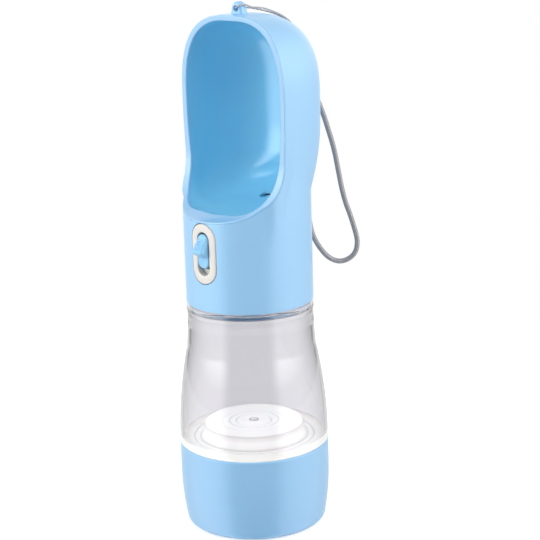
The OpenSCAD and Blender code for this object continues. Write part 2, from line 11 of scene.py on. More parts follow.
import bpy
import numpy as np
from mathutils import Matrix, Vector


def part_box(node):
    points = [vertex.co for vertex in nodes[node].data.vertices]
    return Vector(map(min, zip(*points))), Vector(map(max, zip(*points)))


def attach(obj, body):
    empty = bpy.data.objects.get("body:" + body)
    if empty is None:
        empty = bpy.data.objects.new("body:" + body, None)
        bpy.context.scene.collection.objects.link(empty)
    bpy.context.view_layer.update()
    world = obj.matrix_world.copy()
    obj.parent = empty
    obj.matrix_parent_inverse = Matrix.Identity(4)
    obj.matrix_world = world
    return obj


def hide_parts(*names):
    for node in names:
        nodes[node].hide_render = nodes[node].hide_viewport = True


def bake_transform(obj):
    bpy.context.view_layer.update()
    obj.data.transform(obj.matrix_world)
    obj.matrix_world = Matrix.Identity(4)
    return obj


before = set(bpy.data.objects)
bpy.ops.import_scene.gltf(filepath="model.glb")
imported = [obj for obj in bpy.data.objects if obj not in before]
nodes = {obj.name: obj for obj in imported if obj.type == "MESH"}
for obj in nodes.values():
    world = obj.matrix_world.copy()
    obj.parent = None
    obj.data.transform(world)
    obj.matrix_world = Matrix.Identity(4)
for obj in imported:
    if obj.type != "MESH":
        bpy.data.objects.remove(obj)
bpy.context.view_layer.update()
MM, CM = 0.001, 0.01                # metres
TINY = 1e-9

# %% [markdown]
# ## Camera
# The lens and place were worked out from the photograph's own outlines: the ellipses of the cup,
# the bottle and the head give the height and tilt, and the trough's mouth gives the turn. The
# camera stands a little to the bottle's right front and looks slightly down through a long lens.

# %% Camera
VIEW_TURN = math.radians(44)        # how far the camera stands round from the front
VIEW_DOWN = math.radians(14.379)
VIEW_ROLL = math.radians(-1.83)
VIEW_PAN = math.radians(0.747)
VIEW_DISTANCE = 0.81756             # level distance from the bottle's axis
VIEW_HEIGHT = 0.3473
LENS_MM = 106.67


def camera_axes():
    """Level forward and right from the turn, then tilt, pan and roll, each a small rotation of two axes."""
    level = np.array([-math.sin(VIEW_TURN), math.cos(VIEW_TURN), 0])
    right = np.array([math.cos(VIEW_TURN), math.sin(VIEW_TURN), 0])
    forward = level * math.cos(VIEW_DOWN) - np.array([0, 0, math.sin(VIEW_DOWN)])
    up = np.cross(right, forward)
    panned = forward * math.cos(VIEW_PAN) + right * math.sin(VIEW_PAN)
    side = right * math.cos(VIEW_PAN) - forward * math.sin(VIEW_PAN)
    rolled_side = side * math.cos(VIEW_ROLL) + up * math.sin(VIEW_ROLL)
    rolled_up = up * math.cos(VIEW_ROLL) - side * math.sin(VIEW_ROLL)
    return rolled_side, rolled_up, -panned


camera_data = bpy.data.cameras.new("camera")
camera_data.lens = LENS_MM
camera_data.sensor_width = 36
camera = bpy.data.objects.new("camera", camera_data)
bpy.context.scene.collection.objects.link(camera)
turn = np.eye(4)
turn[:3, :3] = np.stack(camera_axes(), axis=1)
turn[:3, 3] = [math.sin(VIEW_TURN) * VIEW_DISTANCE, -math.cos(VIEW_TURN) * VIEW_DISTANCE, VIEW_HEIGHT]
camera.matrix_world = Matrix(turn.tolist())
bpy.context.scene.camera = camera

# %% [markdown]
# ## Small tools
# Even angles, points put together from their coordinates, arcs and soft steps are needed by
# nearly every piece, so each has a short function here. The pieces are drawn in millimetres.

# %% Small tools
def round_angles(count):
    """Even angles once round, in radians."""
    return np.linspace(0, 2 * np.pi, count, endpoint=False)


def quarter_turn(count):
    """Even angles from 0 to a right angle, in radians, with both ends."""
    return np.radians(np.linspace(0, 90, count))


def joined(*coordinates):
    """Coordinates put together as points; a single number stands for a whole row of them."""
    return np.stack(np.broadcast_arrays(*coordinates), axis=-1)


def arc(centre, radius, start, end, count):
    """Points of a circle's arc in a plane, from one angle to another in degrees."""
    angle = np.radians(np.linspace(start, end, count))
    return joined(centre[0] + radius * np.cos(angle), centre[1] + radius * np.sin(angle))


def smooth_step(value, low, high):
    """0 below low, 1 above high, and a soft s-curve between them."""
    t = np.clip((value - low) / (high - low), 0, 1)
    return t * t * (3 - 2 * t)


def quarter_round(radius, turn):
    """How far a quarter round has left its first side, and how far it still is from its second."""
    return radius * (1 - np.cos(turn)), radius * (1 - np.sin(turn))


quarter = quarter_turn(8)
print("a quarter round has", len(quarter), "points")

# %% [markdown]
# ## Grids of points become meshes
# Almost every piece here is a grid of points: rows along one parameter and columns along the
# other. Where a direction goes round and meets itself it is joined up, and where a row shrinks to
# a point it is closed with a fan. One function turns such a grid into a mesh.

# %% Mesh helpers
def new_piece(name, points, faces, sharp_degrees=None):
    """A smooth mesh object from points in millimetres; edges past the sharp angle keep their crease."""
    mesh = bpy.data.meshes.new(name)
    mesh.from_pydata((np.asarray(points) * MM).tolist(), [], faces)
    mesh.validate()
    piece = bpy.data.objects.new(name, mesh)
    bpy.context.scene.collection.objects.link(piece)
    mesh.shade_smooth()
    if sharp_degrees is not None:
        mesh.set_sharp_from_angle(angle=math.radians(sharp_degrees))
    return piece


def grid_faces(rows, columns, wrap_rows=False, wrap_columns=True):
    """Quads between neighbouring rows and columns of a grid, as index lists."""
    row = np.arange(rows if wrap_rows else rows - 1)
    column = np.arange(columns if wrap_columns else columns - 1)
    r, c = np.meshgrid(row, column, indexing="ij")
    r2, c2 = (r + 1) % rows, (c + 1) % columns
    quads = np.stack([r * columns + c, r * columns + c2, r2 * columns + c2, r2 * columns + c], axis=-1)
    return quads.reshape(-1, 4).tolist()


def outward(piece):
    """Turns a closed mesh's faces outwards, and gives its enclosed volume in cubic centimetres."""
    mesh = piece.data
    mesh.calc_loop_triangles()
    corners = np.empty(len(mesh.loop_triangles) * 3, dtype=np.int64)
    mesh.loop_triangles.foreach_get("vertices", corners)
    points = np.empty(len(mesh.vertices) * 3)
    mesh.vertices.foreach_get("co", points)
    a, b, c = points.reshape(-1, 3)[corners.reshape(-1, 3)].transpose(1, 0, 2)
    volume = np.einsum("ij,ij->i", a, np.cross(b, c)).sum() / 6
    if volume < 0:
        mesh.flip_normals()
    return abs(volume) / CM ** 3


def grid_piece(name, grid, wrap_rows=False, close_ends=False, sharp_degrees=None):
    """A closed piece from a grid [rows, columns, 3] whose columns go round. Fans may close its ends."""
    rows, columns = grid.shape[:2]
    points = grid.reshape(-1, 3)
    faces = grid_faces(rows, columns, wrap_rows)
    ends = ((0, 1), (rows - 1, -1)) if close_ends else ()
    for at, way in ends:
        centre = np.full(columns, len(points))
        points = np.vstack([points, grid[at].mean(axis=0)])
        ring = at * columns + np.arange(columns)
        following = at * columns + (np.arange(columns) + 1) % columns
        fan = np.stack([centre, following, ring] if way > 0 else [centre, ring, following], axis=-1)
        faces += fan.tolist()
    piece = new_piece(name, points, faces, sharp_degrees)
    print(f"{name}: {len(points)} points, {outward(piece):.1f} cm3")
    return piece


def revolved(name, profile, columns, sharp_degrees=None):
    """A closed piece turned about Z from a closed profile of (radius, height) pairs, listed round."""
    angle = round_angles(columns)
    radius, height = np.asarray(profile, dtype=float).T[:, :, None]
    grid = joined(radius * np.cos(angle), radius * np.sin(angle), height)
    return grid_piece(name, grid, wrap_rows=True, sharp_degrees=sharp_degrees)


# %% [markdown]
# ## Notes on a piece
# Every visible piece rides on a body and stands for a node of the model, whose own solid is hidden.
# Some pieces also carry a number for each point, which their material reads.

# %% Notes on a piece
def dressed(piece, body, stands_for):
    """Attaches a piece to its body and hides the node that it stands for."""
    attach(piece, body)
    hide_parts(stands_for)
    return piece


def point_places(piece):
    """The piece's points in millimetres, as an array of x, y and z."""
    flat = np.empty(3 * len(piece.data.vertices))
    piece.data.vertices.foreach_get("co", flat)
    return flat.reshape(-1, 3) / MM


def store_per_point(piece, name, values):
    """Keeps a number for each point on the mesh, which a material can read by that name."""
    padded = np.zeros(len(piece.data.vertices), dtype=np.float32)
    padded[:values.size] = values.ravel()
    attribute = piece.data.attributes.new(name, "FLOAT", "POINT")
    attribute.data.foreach_set("value", padded)


# %% [markdown]
# ## Routes of the strap
# A thin string is hitched through the lug's eye and ends in a crimped ferrule. From the ferrule
# hangs a loop of braided cord. The loop repeats the model's own points, in the head's frame. So
# does the string, but for the hitch, where it leaves the eye at the front and goes over the lug's
# right side, as the photograph shows. A smooth curve is run through each row of points.

# %% Cord routes
HEAD_Z = 122.8
STRING_ROUTE = np.array([
    [11.2, 39.9, 121], [11.2, 39.9, 123.2], [10.3, 37.1, 127.5], [9.4, 34.8, 132.5], [8.3, 31.6, 138],
    [7.5, 28, 142.6], [6.7, 22.9, 146.2], [5.8, 17.2, 148.6], [4.4, 11, 150.5], [2.4, 6.1, 151.8],
    [0.5, 3, 152.3], [0.1, 0.5, 152.3], [0, -2.5, 152.3], [0.3, -4.1, 152.5], [1.2, -4.5, 153.1],
    [2.3, -4.4, 153.7], [3.5, -3.7, 154.1], [4.1, -2.2, 154.2], [4.3, -0.6, 154.0], [4.3, 1.0, 153.5],
    [4.4, 2.4, 152.9], [4.9, 3.4, 152.5], [5.6, 4.8, 152.4], [6.2, 7.4, 152.1],
    [6.7, 11, 151.3], [7.3, 17, 149.2], [8, 22.7, 146.6], [8.9, 27.7, 142.9],
    [9.8, 31.4, 138.2], [10.8, 34.5, 132.7], [11.7, 36.8, 127.7], [12.6, 39.6, 123.2], [12.6, 39.6, 121]])
LOOP_ROUTE = np.array([
    [13.4, 39.4, 112], [13.4, 39.4, 108.5], [14.3, 40.2, 103.5], [15.5, 41.6, 98.5], [16.8, 43.3, 92.5],
    [18.2, 45, 85], [19.3, 46.5, 78.5], [20.2, 47.7, 72], [20.9, 48.6, 65.5], [21.6, 49.5, 59],
    [22.5, 50.3, 52.5], [23.8, 51.5, 45.5], [25.5, 52.9, 39], [26.9, 54.4, 32], [27.9, 55.5, 25.5],
    [27.7, 55.3, 20.5], [26.4, 54.1, 16.8], [24, 51.8, 14.3], [21.2, 49, 13.4], [18.7, 45.9, 14.6],
    [16.8, 43, 17.2], [14.9, 40.6, 21], [13, 38.9, 25.3], [11.6, 37.6, 30], [10.6, 36.9, 36],
    [10, 36.6, 43], [9.6, 36.7, 51], [9.4, 37.4, 59], [9.3, 38.5, 67], [9.2, 39.5, 75],
    [9.3, 40.3, 83], [9.5, 40.8, 91], [9.9, 40.9, 99], [10.4, 40.1, 107], [10.4, 40.1, 112]])
STRING_D, CORD_D = 0.9, 2.8
BETWEEN = 24                        # points of the curve between two points of a route


def smooth_route(route, step):
    """A Catmull-Rom curve through the route's points, then walked at even steps of its length."""
    p = route + [0, 0, HEAD_Z]
    ends = np.vstack([2 * p[0] - p[1], p, 2 * p[-1] - p[-2]])
    t = np.linspace(0, 1, BETWEEN, endpoint=False)[None, :, None]
    a, b, c, d = (ends[k:len(ends) - 3 + k][:, None] for k in range(4))
    bend = (2 * a - 5 * b + 4 * c - d) * t ** 2 + (3 * b - a - 3 * c + d) * t ** 3
    curve = 0.5 * (2 * b + (c - a) * t + bend)
    curve = np.vstack([curve.reshape(-1, 3), p[-1]])
    walked = np.concatenate([[0], np.cumsum(np.linalg.norm(np.diff(curve, axis=0), axis=1))])
    even = np.linspace(0, walked[-1], int(walked[-1] / step) + 1)
    return np.stack([np.interp(even, walked, curve[:, k]) for k in range(3)], axis=-1), walked[-1]


def carried_sides(path, start):
    """A sideways direction at each point, carried along the path without twisting about it."""
    tangent = np.gradient(path, axis=0)
    tangent /= np.linalg.norm(tangent, axis=1, keepdims=True)
    sides = np.empty_like(path)
    side = np.asarray(start, dtype=float)
    for i, t in enumerate(tangent):
        side = side - side.dot(t) * t
        side /= np.linalg.norm(side)
        sides[i] = side
    return tangent, sides, np.cross(tangent, sides)


def tube_grid(path, radius, angle, start=(1, 0, 0)):
    """Rings of points square to a path: radius may be one number or a value for each ring and angle."""
    tangent, side, other = carried_sides(path, start)
    ring = np.cos(angle)[None, :, None] * side[:, None] + np.sin(angle)[None, :, None] * other[:, None]
    return path[:, None] + np.asarray(radius)[..., None] * ring


# %% [markdown]
# ## The string
# The string is a twisted cord just under a millimetre thick. Three strands lie side by side in a
# slow twist, which makes its section a rounded clover that turns along the length.

# %% String
TWIST_PITCH = 2.6                   # millimetres for one full turn of a strand
TWIST_STRANDS, TWIST_DEPTH = 3, 0.12
STRING_STEP, STRING_SIDES = 0.22, 24


def twist_phase(length_along, angle):
    """Angle within the clover of three lobes, which turns steadily along the length."""
    return TWIST_STRANDS * angle[None, :] - 2 * np.pi * length_along[:, None] / TWIST_PITCH


string_path, string_length = smooth_route(STRING_ROUTE, STRING_STEP)
string_angle = round_angles(STRING_SIDES)
string_lobes = np.cos(twist_phase(np.linspace(0, string_length, len(string_path)), string_angle))
string_radius = STRING_D / 2 * (1 - TWIST_DEPTH + TWIST_DEPTH * string_lobes)
string_grid = tube_grid(string_path, string_radius, string_angle)
strap_string = grid_piece("strap_string_twisted", string_grid, close_ends=True)
dressed(strap_string, "head", "strap_string")
store_per_point(strap_string, "braid_height", 0.5 + 0.5 * string_lobes)
store_per_point(strap_string, "braid_side", np.full(string_lobes.shape, 0.5))
print(f"string: {string_length:.1f} mm long")

# %% [markdown]
# ## The braided loop
# The wrist cord is a round braid. Its strands run in two sets of helices, one to the left and one
# to the right, and pass over and under each other. The relief of such a braid can be written down:
# where one set is on top, the surface follows the crown of that set's strands, and a checkerboard
# of the two phases says which set is on top.

# %% Braided loop
BRAID_STRANDS = 8                   # strands in each of the two directions
BRAID_PITCH = 9.0                   # millimetres for one turn of a strand
BRAID_SOFT, BRAID_DEPTH = 0.25, 0.13
LOOP_STEP, LOOP_SIDES = 0.2, 64


def braid_relief(length_along, angle):
    """Height between 0 and 1 of a two-way braid, and which of the two directions lies on top."""
    turn_along = 2 * np.pi * length_along[:, None] / BRAID_PITCH
    right = BRAID_STRANDS / 2 * (angle[None, :] + turn_along)
    left = BRAID_STRANDS / 2 * (angle[None, :] - turn_along)
    on_top = smooth_step(np.sin(right) * np.sin(left), -BRAID_SOFT, BRAID_SOFT)
    height = on_top * np.sqrt(np.abs(np.cos(left))) + (1 - on_top) * np.sqrt(np.abs(np.cos(right)))
    return height, on_top


loop_path, loop_length = smooth_route(LOOP_ROUTE, LOOP_STEP)
loop_angle = round_angles(LOOP_SIDES)
loop_height, loop_top = braid_relief(np.linspace(0, loop_length, len(loop_path)), loop_angle)
loop_radius = CORD_D / 2 * (1 - BRAID_DEPTH + BRAID_DEPTH * loop_height)
strap_loop = grid_piece("strap_loop_braid", tube_grid(loop_path, loop_radius, loop_angle), close_ends=True)
dressed(strap_loop, "head", "strap_loop")
store_per_point(strap_loop, "braid_height", loop_height)
store_per_point(strap_loop, "braid_side", loop_top)
print(f"braided loop: {loop_length:.1f} mm long")

# %% [markdown]
# ## The ferrule
# A small plastic crimp holds the ends of string and cord. It is a flat oval sleeve with rounded
# edges, pressed in slightly at its middle, so it is drawn as an oval section carried upwards with
# a waist.

# %% Ferrule
CRIMP_AT, CRIMP_TURN = np.array([11.9, 39.7]), math.radians(-15)
CRIMP_FOOT, CRIMP_TOP, CRIMP_W, CRIMP_T = 112.0, 121.0, 7.0, 3.6
CRIMP_EDGE, CRIMP_COLUMNS = 0.5, 96
PINCH_DEPTH, PINCH_SPREAD = 0.35, 1.3


def oval(width, thickness, count):
    """Points of a slot-shaped outline: two half circles joined by straight runs, spread evenly."""
    radius, straight = thickness / 2, width - thickness
    half = np.pi * radius
    s = np.linspace(0, 2 * straight + 2 * half, count, endpoint=False)
    points = np.empty((count, 2))
    starts = [0, straight, straight + half, 2 * straight + half]
    part = np.searchsorted(starts, s, side="right") - 1
    for k in range(4):
        along = s[part == k] - starts[k]
        side = 1 if k < 2 else -1
        if k % 2:
            turned = along / radius - np.pi / 2
            points[part == k] = side * joined(straight / 2 + radius * np.cos(turned), radius * np.sin(turned))
        else:
            points[part == k] = side * joined(along - straight / 2, -radius)
    return points


def ferrule_grid():
    """The oval outline, scaled at each height: rounded at both ends, and pinched at the middle."""
    height = CRIMP_TOP - CRIMP_FOOT
    near, far = quarter_round(CRIMP_EDGE, quarter_turn(7))
    straight = np.linspace(CRIMP_EDGE, height - CRIMP_EDGE, 31)[1:-1]
    rise = np.concatenate([near, straight, height - far])
    inset = np.concatenate([far, 0 * straight, near])
    pinch = PINCH_DEPTH * np.exp(-((rise - height / 2) / PINCH_SPREAD) ** 2)
    c, s = math.cos(CRIMP_TURN), math.sin(CRIMP_TURN)
    rings = []
    for z, cut, press in zip(rise, inset, pinch):
        across, depth = oval(CRIMP_W - 2 * cut, CRIMP_T - 2 * cut, CRIMP_COLUMNS).T
        depth = depth * (1 - 2 * press / CRIMP_T)
        x, y = CRIMP_AT[0] + across * c - depth * s, CRIMP_AT[1] + across * s + depth * c
        rings.append(joined(x, y, HEAD_Z + CRIMP_FOOT + z))
    return np.array(rings)


ferrule = grid_piece("strap_ferrule_crimped", ferrule_grid(), close_ends=True)
dressed(ferrule, "head", "strap_ferrule")

# %% [markdown]
# ## Ends of the two cords
# The points where the string and the braided loop end are printed.

# %% Ends of the two cords
print("cords end at", string_path[-1].round(1), "and", loop_path[-1].round(1))

# %% [markdown]
# ## The head's form
# The head is one smooth moulding: a cylinder below, and above it a trough part with flatter sides,
# a rounded back and an arched top. Its radius is a formula of the angle and the height. Two
# sections are compared, the cylinder's circle and the trough's squarish oval, and the larger one
# counts, with a soft blend where they meet. That meeting line is the crease seen in the photograph.

# %% Head form
HEAD_R, HEAD_H, ARCH_H = 33.6, 149.6, 106.0
TROUGH_HALF_W, TROUGH_BACK, TROUGH_BACK_H = 35.9, 38.6, 92.0
TOP_POWER, BACK_POWER, FRONT_POWER, FRONT_DEPTH = 2.7, 2.4, 4.0, 30.0
SIDE_ARC_R, BACK_ARC_R, CREASE_BLEND = 280.0, 80.0, 0.8
FLOOR_H, FLOOR_SLOPE, SLOPE_FADE_H = 51.4, 0.11, 26.0
FLOOR_ROUND_FRONT, FLOOR_ROUND_BACK = 11.0, 22.0
RIM_FACE, RIM_ARC_R, LIP_H = 8.8, 30.6, 47.6
WAIST_FULLER, LIP_ROUNDER, MOUTH_WIDER = 0.5, 9.0, 0.5
MOUTH_SHARE = 0.3                   # how far forward of the sides the fuller front has set in
LIP_FADE_H = 95.0                   # height at which the rounder lip has faded out
ARC_SHARE = 0.8                     # an arc is followed no further than this share of its radius
SHELL_WALL, LINER_WALL, FLANGE_T, FIT = 1.5, 1.2, 0.9, 0.1


def arch(h, top):
    """1 up to the arch's start, then a superellipse down to 0 at the top."""
    rise = np.clip((h - ARCH_H) / (top - ARCH_H), 0, 1)
    return np.power(1 - np.power(rise, TOP_POWER), 1 / TOP_POWER)


def draw_in(distance, radius):
    """How far a side that follows a large circle has drawn in at a distance from its widest point."""
    d = np.clip(distance, 0, ARC_SHARE * radius)
    return radius - np.sqrt(radius * radius - d * d)


def oval_reach(across, along, power):
    """Distance from the middle to a superellipse, from the two shares of a direction."""
    return np.power(np.power(across, power) + np.power(along, power), -1 / power)


def head_radius(x, y, h, inset, mouth=0.0):
    """The head's radius towards the point (x, y) at height h, set in by a wall thickness.

    With mouth 1 the front is fuller at the waist and rounder at the lip, as the outer skin is.
    """
    reach = np.maximum(np.hypot(x, y), TINY)
    c, s = np.abs(x) / reach, np.abs(y) / reach
    forward = mouth * smooth_step(-y / reach, 0.0, MOUTH_SHARE)
    widest = TROUGH_HALF_W + MOUTH_WIDER * forward - inset
    a = widest - draw_in(ARCH_H - h, SIDE_ARC_R) * (1 - WAIST_FULLER * forward)
    b = TROUGH_BACK - inset - draw_in(TROUGH_BACK_H - h, BACK_ARC_R)
    depth = FRONT_DEPTH - LIP_ROUNDER * mouth * (1 - smooth_step(h, LIP_H, LIP_FADE_H))
    trough = np.where(y >= 0, oval_reach(c / a, s / b, BACK_POWER), oval_reach(c / a, s / depth, FRONT_POWER))
    circle = HEAD_R - inset
    near = np.clip(CREASE_BLEND - np.abs(trough - circle), 0, None)
    return arch(h, HEAD_H - inset) * (np.maximum(trough, circle) + near ** 2 / (4 * CREASE_BLEND))


def outside_skin(x, y, z, inset):
    """Positive outside the head's outer form, negative inside it, at a wall's depth."""
    return np.hypot(x, y) - head_radius(x, y, z, inset, mouth=1.0)


def outside_trough(x, y, z, inset, wall):
    """The same for the trough's hollow: the head's form with a sloping floor and a rounding above it."""
    low = FLOOR_H - wall
    slope = FLOOR_SLOPE * y
    level = z - low
    tilted = level - slope
    t = np.where(tilted < SLOPE_FADE_H - slope, tilted / (1 - slope / SLOPE_FADE_H), level)
    reach = np.maximum(np.hypot(x, y), TINY)
    rounding = wall + FLOOR_ROUND_FRONT + (FLOOR_ROUND_BACK - FLOOR_ROUND_FRONT) * (1 + y / reach) / 2
    under = np.clip(rounding - t, 0, rounding)
    shrink = rounding - np.sqrt(rounding ** 2 - under ** 2)
    return np.where(t < 0, 1.0, np.hypot(x, y) - head_radius(x, y, low + t, inset) + shrink)


# %% [markdown]
# ## The rim's curved face
# Seen from the side, the trough's mouth is cut by one line: upright above, then a quarter round
# that sweeps forward to the lip. Copies of this cut, each grown a little further back, slice the
# trough into closed loops. A loop is found along rays from a middle point, by halving: the ray is
# cut in two again and again, and the half that holds the wall is kept.

# %% Rim loops
RIM_CENTRE_Y = -RIM_FACE - RIM_ARC_R
RIM_CENTRE_H = LIP_H + math.sqrt(RIM_ARC_R ** 2 - (RIM_CENTRE_Y + HEAD_R) ** 2)
LOOP_COLUMNS = 300
LOOP_MIDDLE = 21.0                  # height of the rays' middle point above the arc's centre
RAY_W, RAY_H, RAY_END = 30.0, 62.0, 2.4
HALVINGS = 42


def on_cut(s, back):
    """The rim's cut as a line (y, z) at the lengths s from where its arc begins, grown by back."""
    angle = np.clip(-s, 0, None) / (RIM_ARC_R + back)
    y = RIM_CENTRE_Y + (RIM_ARC_R + back) * np.cos(angle)
    z = RIM_CENTRE_H + np.clip(s, 0, None) - (RIM_ARC_R + back) * np.sin(angle)
    return y, z


def halve(test, low, high):
    """The value between low and high where test turns from negative to positive, by halving."""
    for _ in range(HALVINGS):
        middle = (low + high) / 2
        beyond = test(middle) > 0
        high = np.where(beyond, middle, high)
        low = np.where(beyond, low, middle)
    return (low + high) / 2


def rim_loops(back, outside):
    """Closed loops where cuts grown by the values in back meet a form, as (x, s) on each cut."""
    phi = round_angles(LOOP_COLUMNS)[None, :]
    back = column(back)
    across, along = RAY_W * np.sin(phi), -RAY_H * np.cos(phi)

    def test(reach):
        y, z = on_cut(LOOP_MIDDLE + reach * along, back)
        return outside(reach * across, y, z)

    start = np.zeros((len(back), LOOP_COLUMNS))
    reach = halve(test, start, start + RAY_END)
    return reach * across, LOOP_MIDDLE + reach * along


def placed(x, s, back):
    """Points in the part's frame for loops given on their cuts."""
    y, z = on_cut(s, column(back))
    return joined(x, y, z + HEAD_Z)


def column(values):
    """A list of one number for each row, as a column that pairs with the loops' points."""
    return np.asarray(values, dtype=float)[:, None]


# %% [markdown]
# ## The trough liner
# The liner is the inner moulding: a bowl with a tall back, and a flange that covers the
# shell's edge all round the mouth. It is drawn as rows of loops: up the outside of the hidden
# bowl, out under the flange, round the flange's soft edge, across the flat rim face, round its
# inner edge, and then back through the bowl to its deepest point.

# %% Trough liner
SOFT_OUT, SOFT_IN = 0.45, 0.7       # roundings of the flange's outer and inner edge
BOWL_INSET = SHELL_WALL + FIT + LINER_WALL
HIDDEN_START, HIDDEN_CLEAR = 1.0, 0.3
POLE_OUT, POLE_IN = 0.004, 0.002    # how far the last row stops before the deepest point
FLANGE_ROWS = [FLANGE_T, FLANGE_T - 0.05, 0.65, SOFT_OUT + 0.05]
FLANGE_INSETS = [0.06, 0, 0, 0]


def on_skin(inset):
    """A test against the outer form, at an inset."""
    return lambda x, y, z: outside_skin(x, y, z, inset)


def on_bowl(inset, wall):
    """A test against the trough's hollow, at an inset and a wall."""
    return lambda x, y, z: outside_trough(x, y, z, inset, wall)


def to_pole(start, inset, count):
    """Growths of the cut from a start to the form's deepest point, closer together near it."""
    deepest = TROUGH_BACK - inset + RIM_FACE
    return start + (deepest - start) * np.sin(np.linspace(0, np.pi / 2, count))


def liner_rows():
    """All the liner's rows, from the hidden bowl's back pole to the inner bowl's back pole."""
    rows = []

    def add(back, outside):
        rows.append(placed(*rim_loops(back, outside), back))

    hidden = to_pole(HIDDEN_START, SHELL_WALL + FIT, 34) - POLE_OUT
    hidden = np.concatenate([[FLANGE_T], hidden[hidden > FLANGE_T + HIDDEN_CLEAR]])[::-1]
    add(hidden, on_bowl(SHELL_WALL + FIT, LINER_WALL))
    add(FLANGE_ROWS, on_skin(column(FLANGE_INSETS)))
    near, far = quarter_round(SOFT_OUT, quarter)
    add(far, on_skin(column(near)))
    x0, s0 = rim_loops([0.0], on_skin(SOFT_OUT))
    x1, s1 = rim_loops([0.0], on_bowl(BOWL_INSET - SOFT_IN, SOFT_IN))
    part = np.linspace(0, 1, 9)[1:-1, None]
    rows.append(placed(x0 + (x1 - x0) * part, s0 + (s1 - s0) * part, np.zeros(len(part))))
    near, far = quarter_round(SOFT_IN, quarter)
    add(near, on_bowl(BOWL_INSET - column(far), column(far)))
    add(to_pole(SOFT_IN, BOWL_INSET, 120)[1:] - POLE_IN, on_bowl(BOWL_INSET, 0.0))
    return np.concatenate(rows)


trough_liner = grid_piece("trough_liner_moulded", liner_rows(), close_ends=True, sharp_degrees=50)
dressed(trough_liner, "head", "trough_liner")

# %% [markdown]
# ## The head's shell
# The shell runs from the round foot of the head, up over the back and the crown, to the flange.
# Between the foot and the flange lies a family of lines in the side view: the first is the level
# foot, the last is the rim's cut, and those between blend one into the other. Each line is carried
# sideways until it meets the form, which gives one closed loop. The wall's inside is made the same
# way, one wall thickness in, and the two are joined at both edges.

# %% Head shell
SHELL_COLUMNS = 280
SHELL_GAP = FLANGE_T + 0.09         # the shell stops just behind the flange, which leaves a fine line
FOOT_SOFT, FOOT_CHAMFER, EDGE_SOFT = 0.5, 0.2, 0.12
INNER_FOOT = 1.0
FARTHEST = 45.0                     # further out than any side of the head
UPRIGHT_ROWS, CROWN_ROWS, FRONT_ROWS = 240, 160, 60


def mid_outline(inset, back, foot):
    """The head's outline in the side view, from the foot at the back up and over to the rim's cut."""
    top = HEAD_H - inset
    low = np.linspace(foot, ARCH_H, UPRIGHT_ROWS)
    turn_up = quarter_turn(CROWN_ROWS)[1:]
    over = ARCH_H + (top - ARCH_H) * np.sin(turn_up) ** (2 / TOP_POWER)
    wide_low = head_radius(0 * low, 1 + 0 * low, low, inset)
    wide_over = np.cos(turn_up) ** (2 / TOP_POWER) * (TROUGH_BACK - inset)
    at_rim = (RIM_FACE - back) / (HEAD_R - inset)
    front = np.linspace(0, at_rim, FRONT_ROWS)[1:]
    front_h = ARCH_H + (top - ARCH_H) * (1 - front ** TOP_POWER) ** (1 / TOP_POWER)
    y = np.concatenate([wide_low, wide_over, -front * (HEAD_R - inset)])
    return y, np.concatenate([low, over, front_h])


def shell_loops(v, inset, back, foot):
    """Loops of the shell for the values v from 0 at the foot to 1 at the rim's cut."""
    v = column(v)
    phi = round_angles(SHELL_COLUMNS)[None, :]
    part = (1 - np.cos(phi)) / 2
    y, z = mid_outline(inset, back, foot)
    walked = np.concatenate([[0], np.cumsum(np.hypot(np.diff(y), np.diff(z)))])
    end_y = np.interp(v * walked[-1], walked, y)
    end_z = np.interp(v * walked[-1], walked, z)
    front = HEAD_R - inset
    radius = RIM_ARC_R + back
    lip = RIM_CENTRE_H - math.sqrt(radius ** 2 - (RIM_CENTRE_Y + front) ** 2)
    lip_angle = math.acos((-front - RIM_CENTRE_Y) / radius)
    length = radius * lip_angle + z[-1] - RIM_CENTRE_H
    cut_y, cut_z = on_cut(part * length - radius * lip_angle, back)
    bulge_y = cut_y - ((1 - part) * -front + part * y[-1])
    bulge_z = cut_z - ((1 - part) * lip + part * z[-1])
    line_y = (1 - part) * -front + part * end_y + v ** 2 * bulge_y
    line_z = (1 - part) * (foot + v * (lip - foot)) + part * end_z + v ** 2 * bulge_z
    x = halve(lambda reach: outside_skin(reach, line_y, line_z, inset), 0 * line_y, 0 * line_y + FARTHEST)
    x[:, 0] = 0
    x[:, SHELL_COLUMNS // 2] = 0
    return joined(x * np.sign(np.sin(phi)), line_y, line_z + HEAD_Z)


def round_rows(radii, heights):
    """Level circles with the shell's own column angles."""
    phi = round_angles(SHELL_COLUMNS)[None, :]
    r = column(radii)
    return joined(r * np.sin(phi), -r * np.cos(phi), column(heights) + HEAD_Z)


inner_rows = shell_loops(np.linspace(0, 1, 60), SHELL_WALL, SHELL_GAP, INNER_FOOT)
soft_edge = shell_loops([1.0], EDGE_SOFT, SHELL_GAP, FOOT_SOFT)
edge_row = (inner_rows[-1:] + soft_edge) / 2
outer_rows = shell_loops(np.linspace(1, 0, 236), 0.0, SHELL_GAP, FOOT_SOFT)
near, far = quarter_round(FOOT_SOFT, quarter[1:])
foot_rows = round_rows(HEAD_R - near, far)
inner_r = HEAD_R - SHELL_WALL
foot_inner = round_rows([inner_r + FOOT_CHAMFER, inner_r], [0.0, FOOT_CHAMFER])
shell_grid = np.concatenate([inner_rows, edge_row, soft_edge, outer_rows[1:], foot_rows, foot_inner])
head_shell = grid_piece("head_shell_moulded", shell_grid, wrap_rows=True, sharp_degrees=50)
dressed(head_shell, "head", "head_shell")

# %% [markdown]
# ## Openings cut through the mouldings
# The shell has a slot behind the bezel, and the trough's floor has a round outlet. Both are
# plain holes, so a cutting body is subtracted with a Boolean modifier and the result is kept.

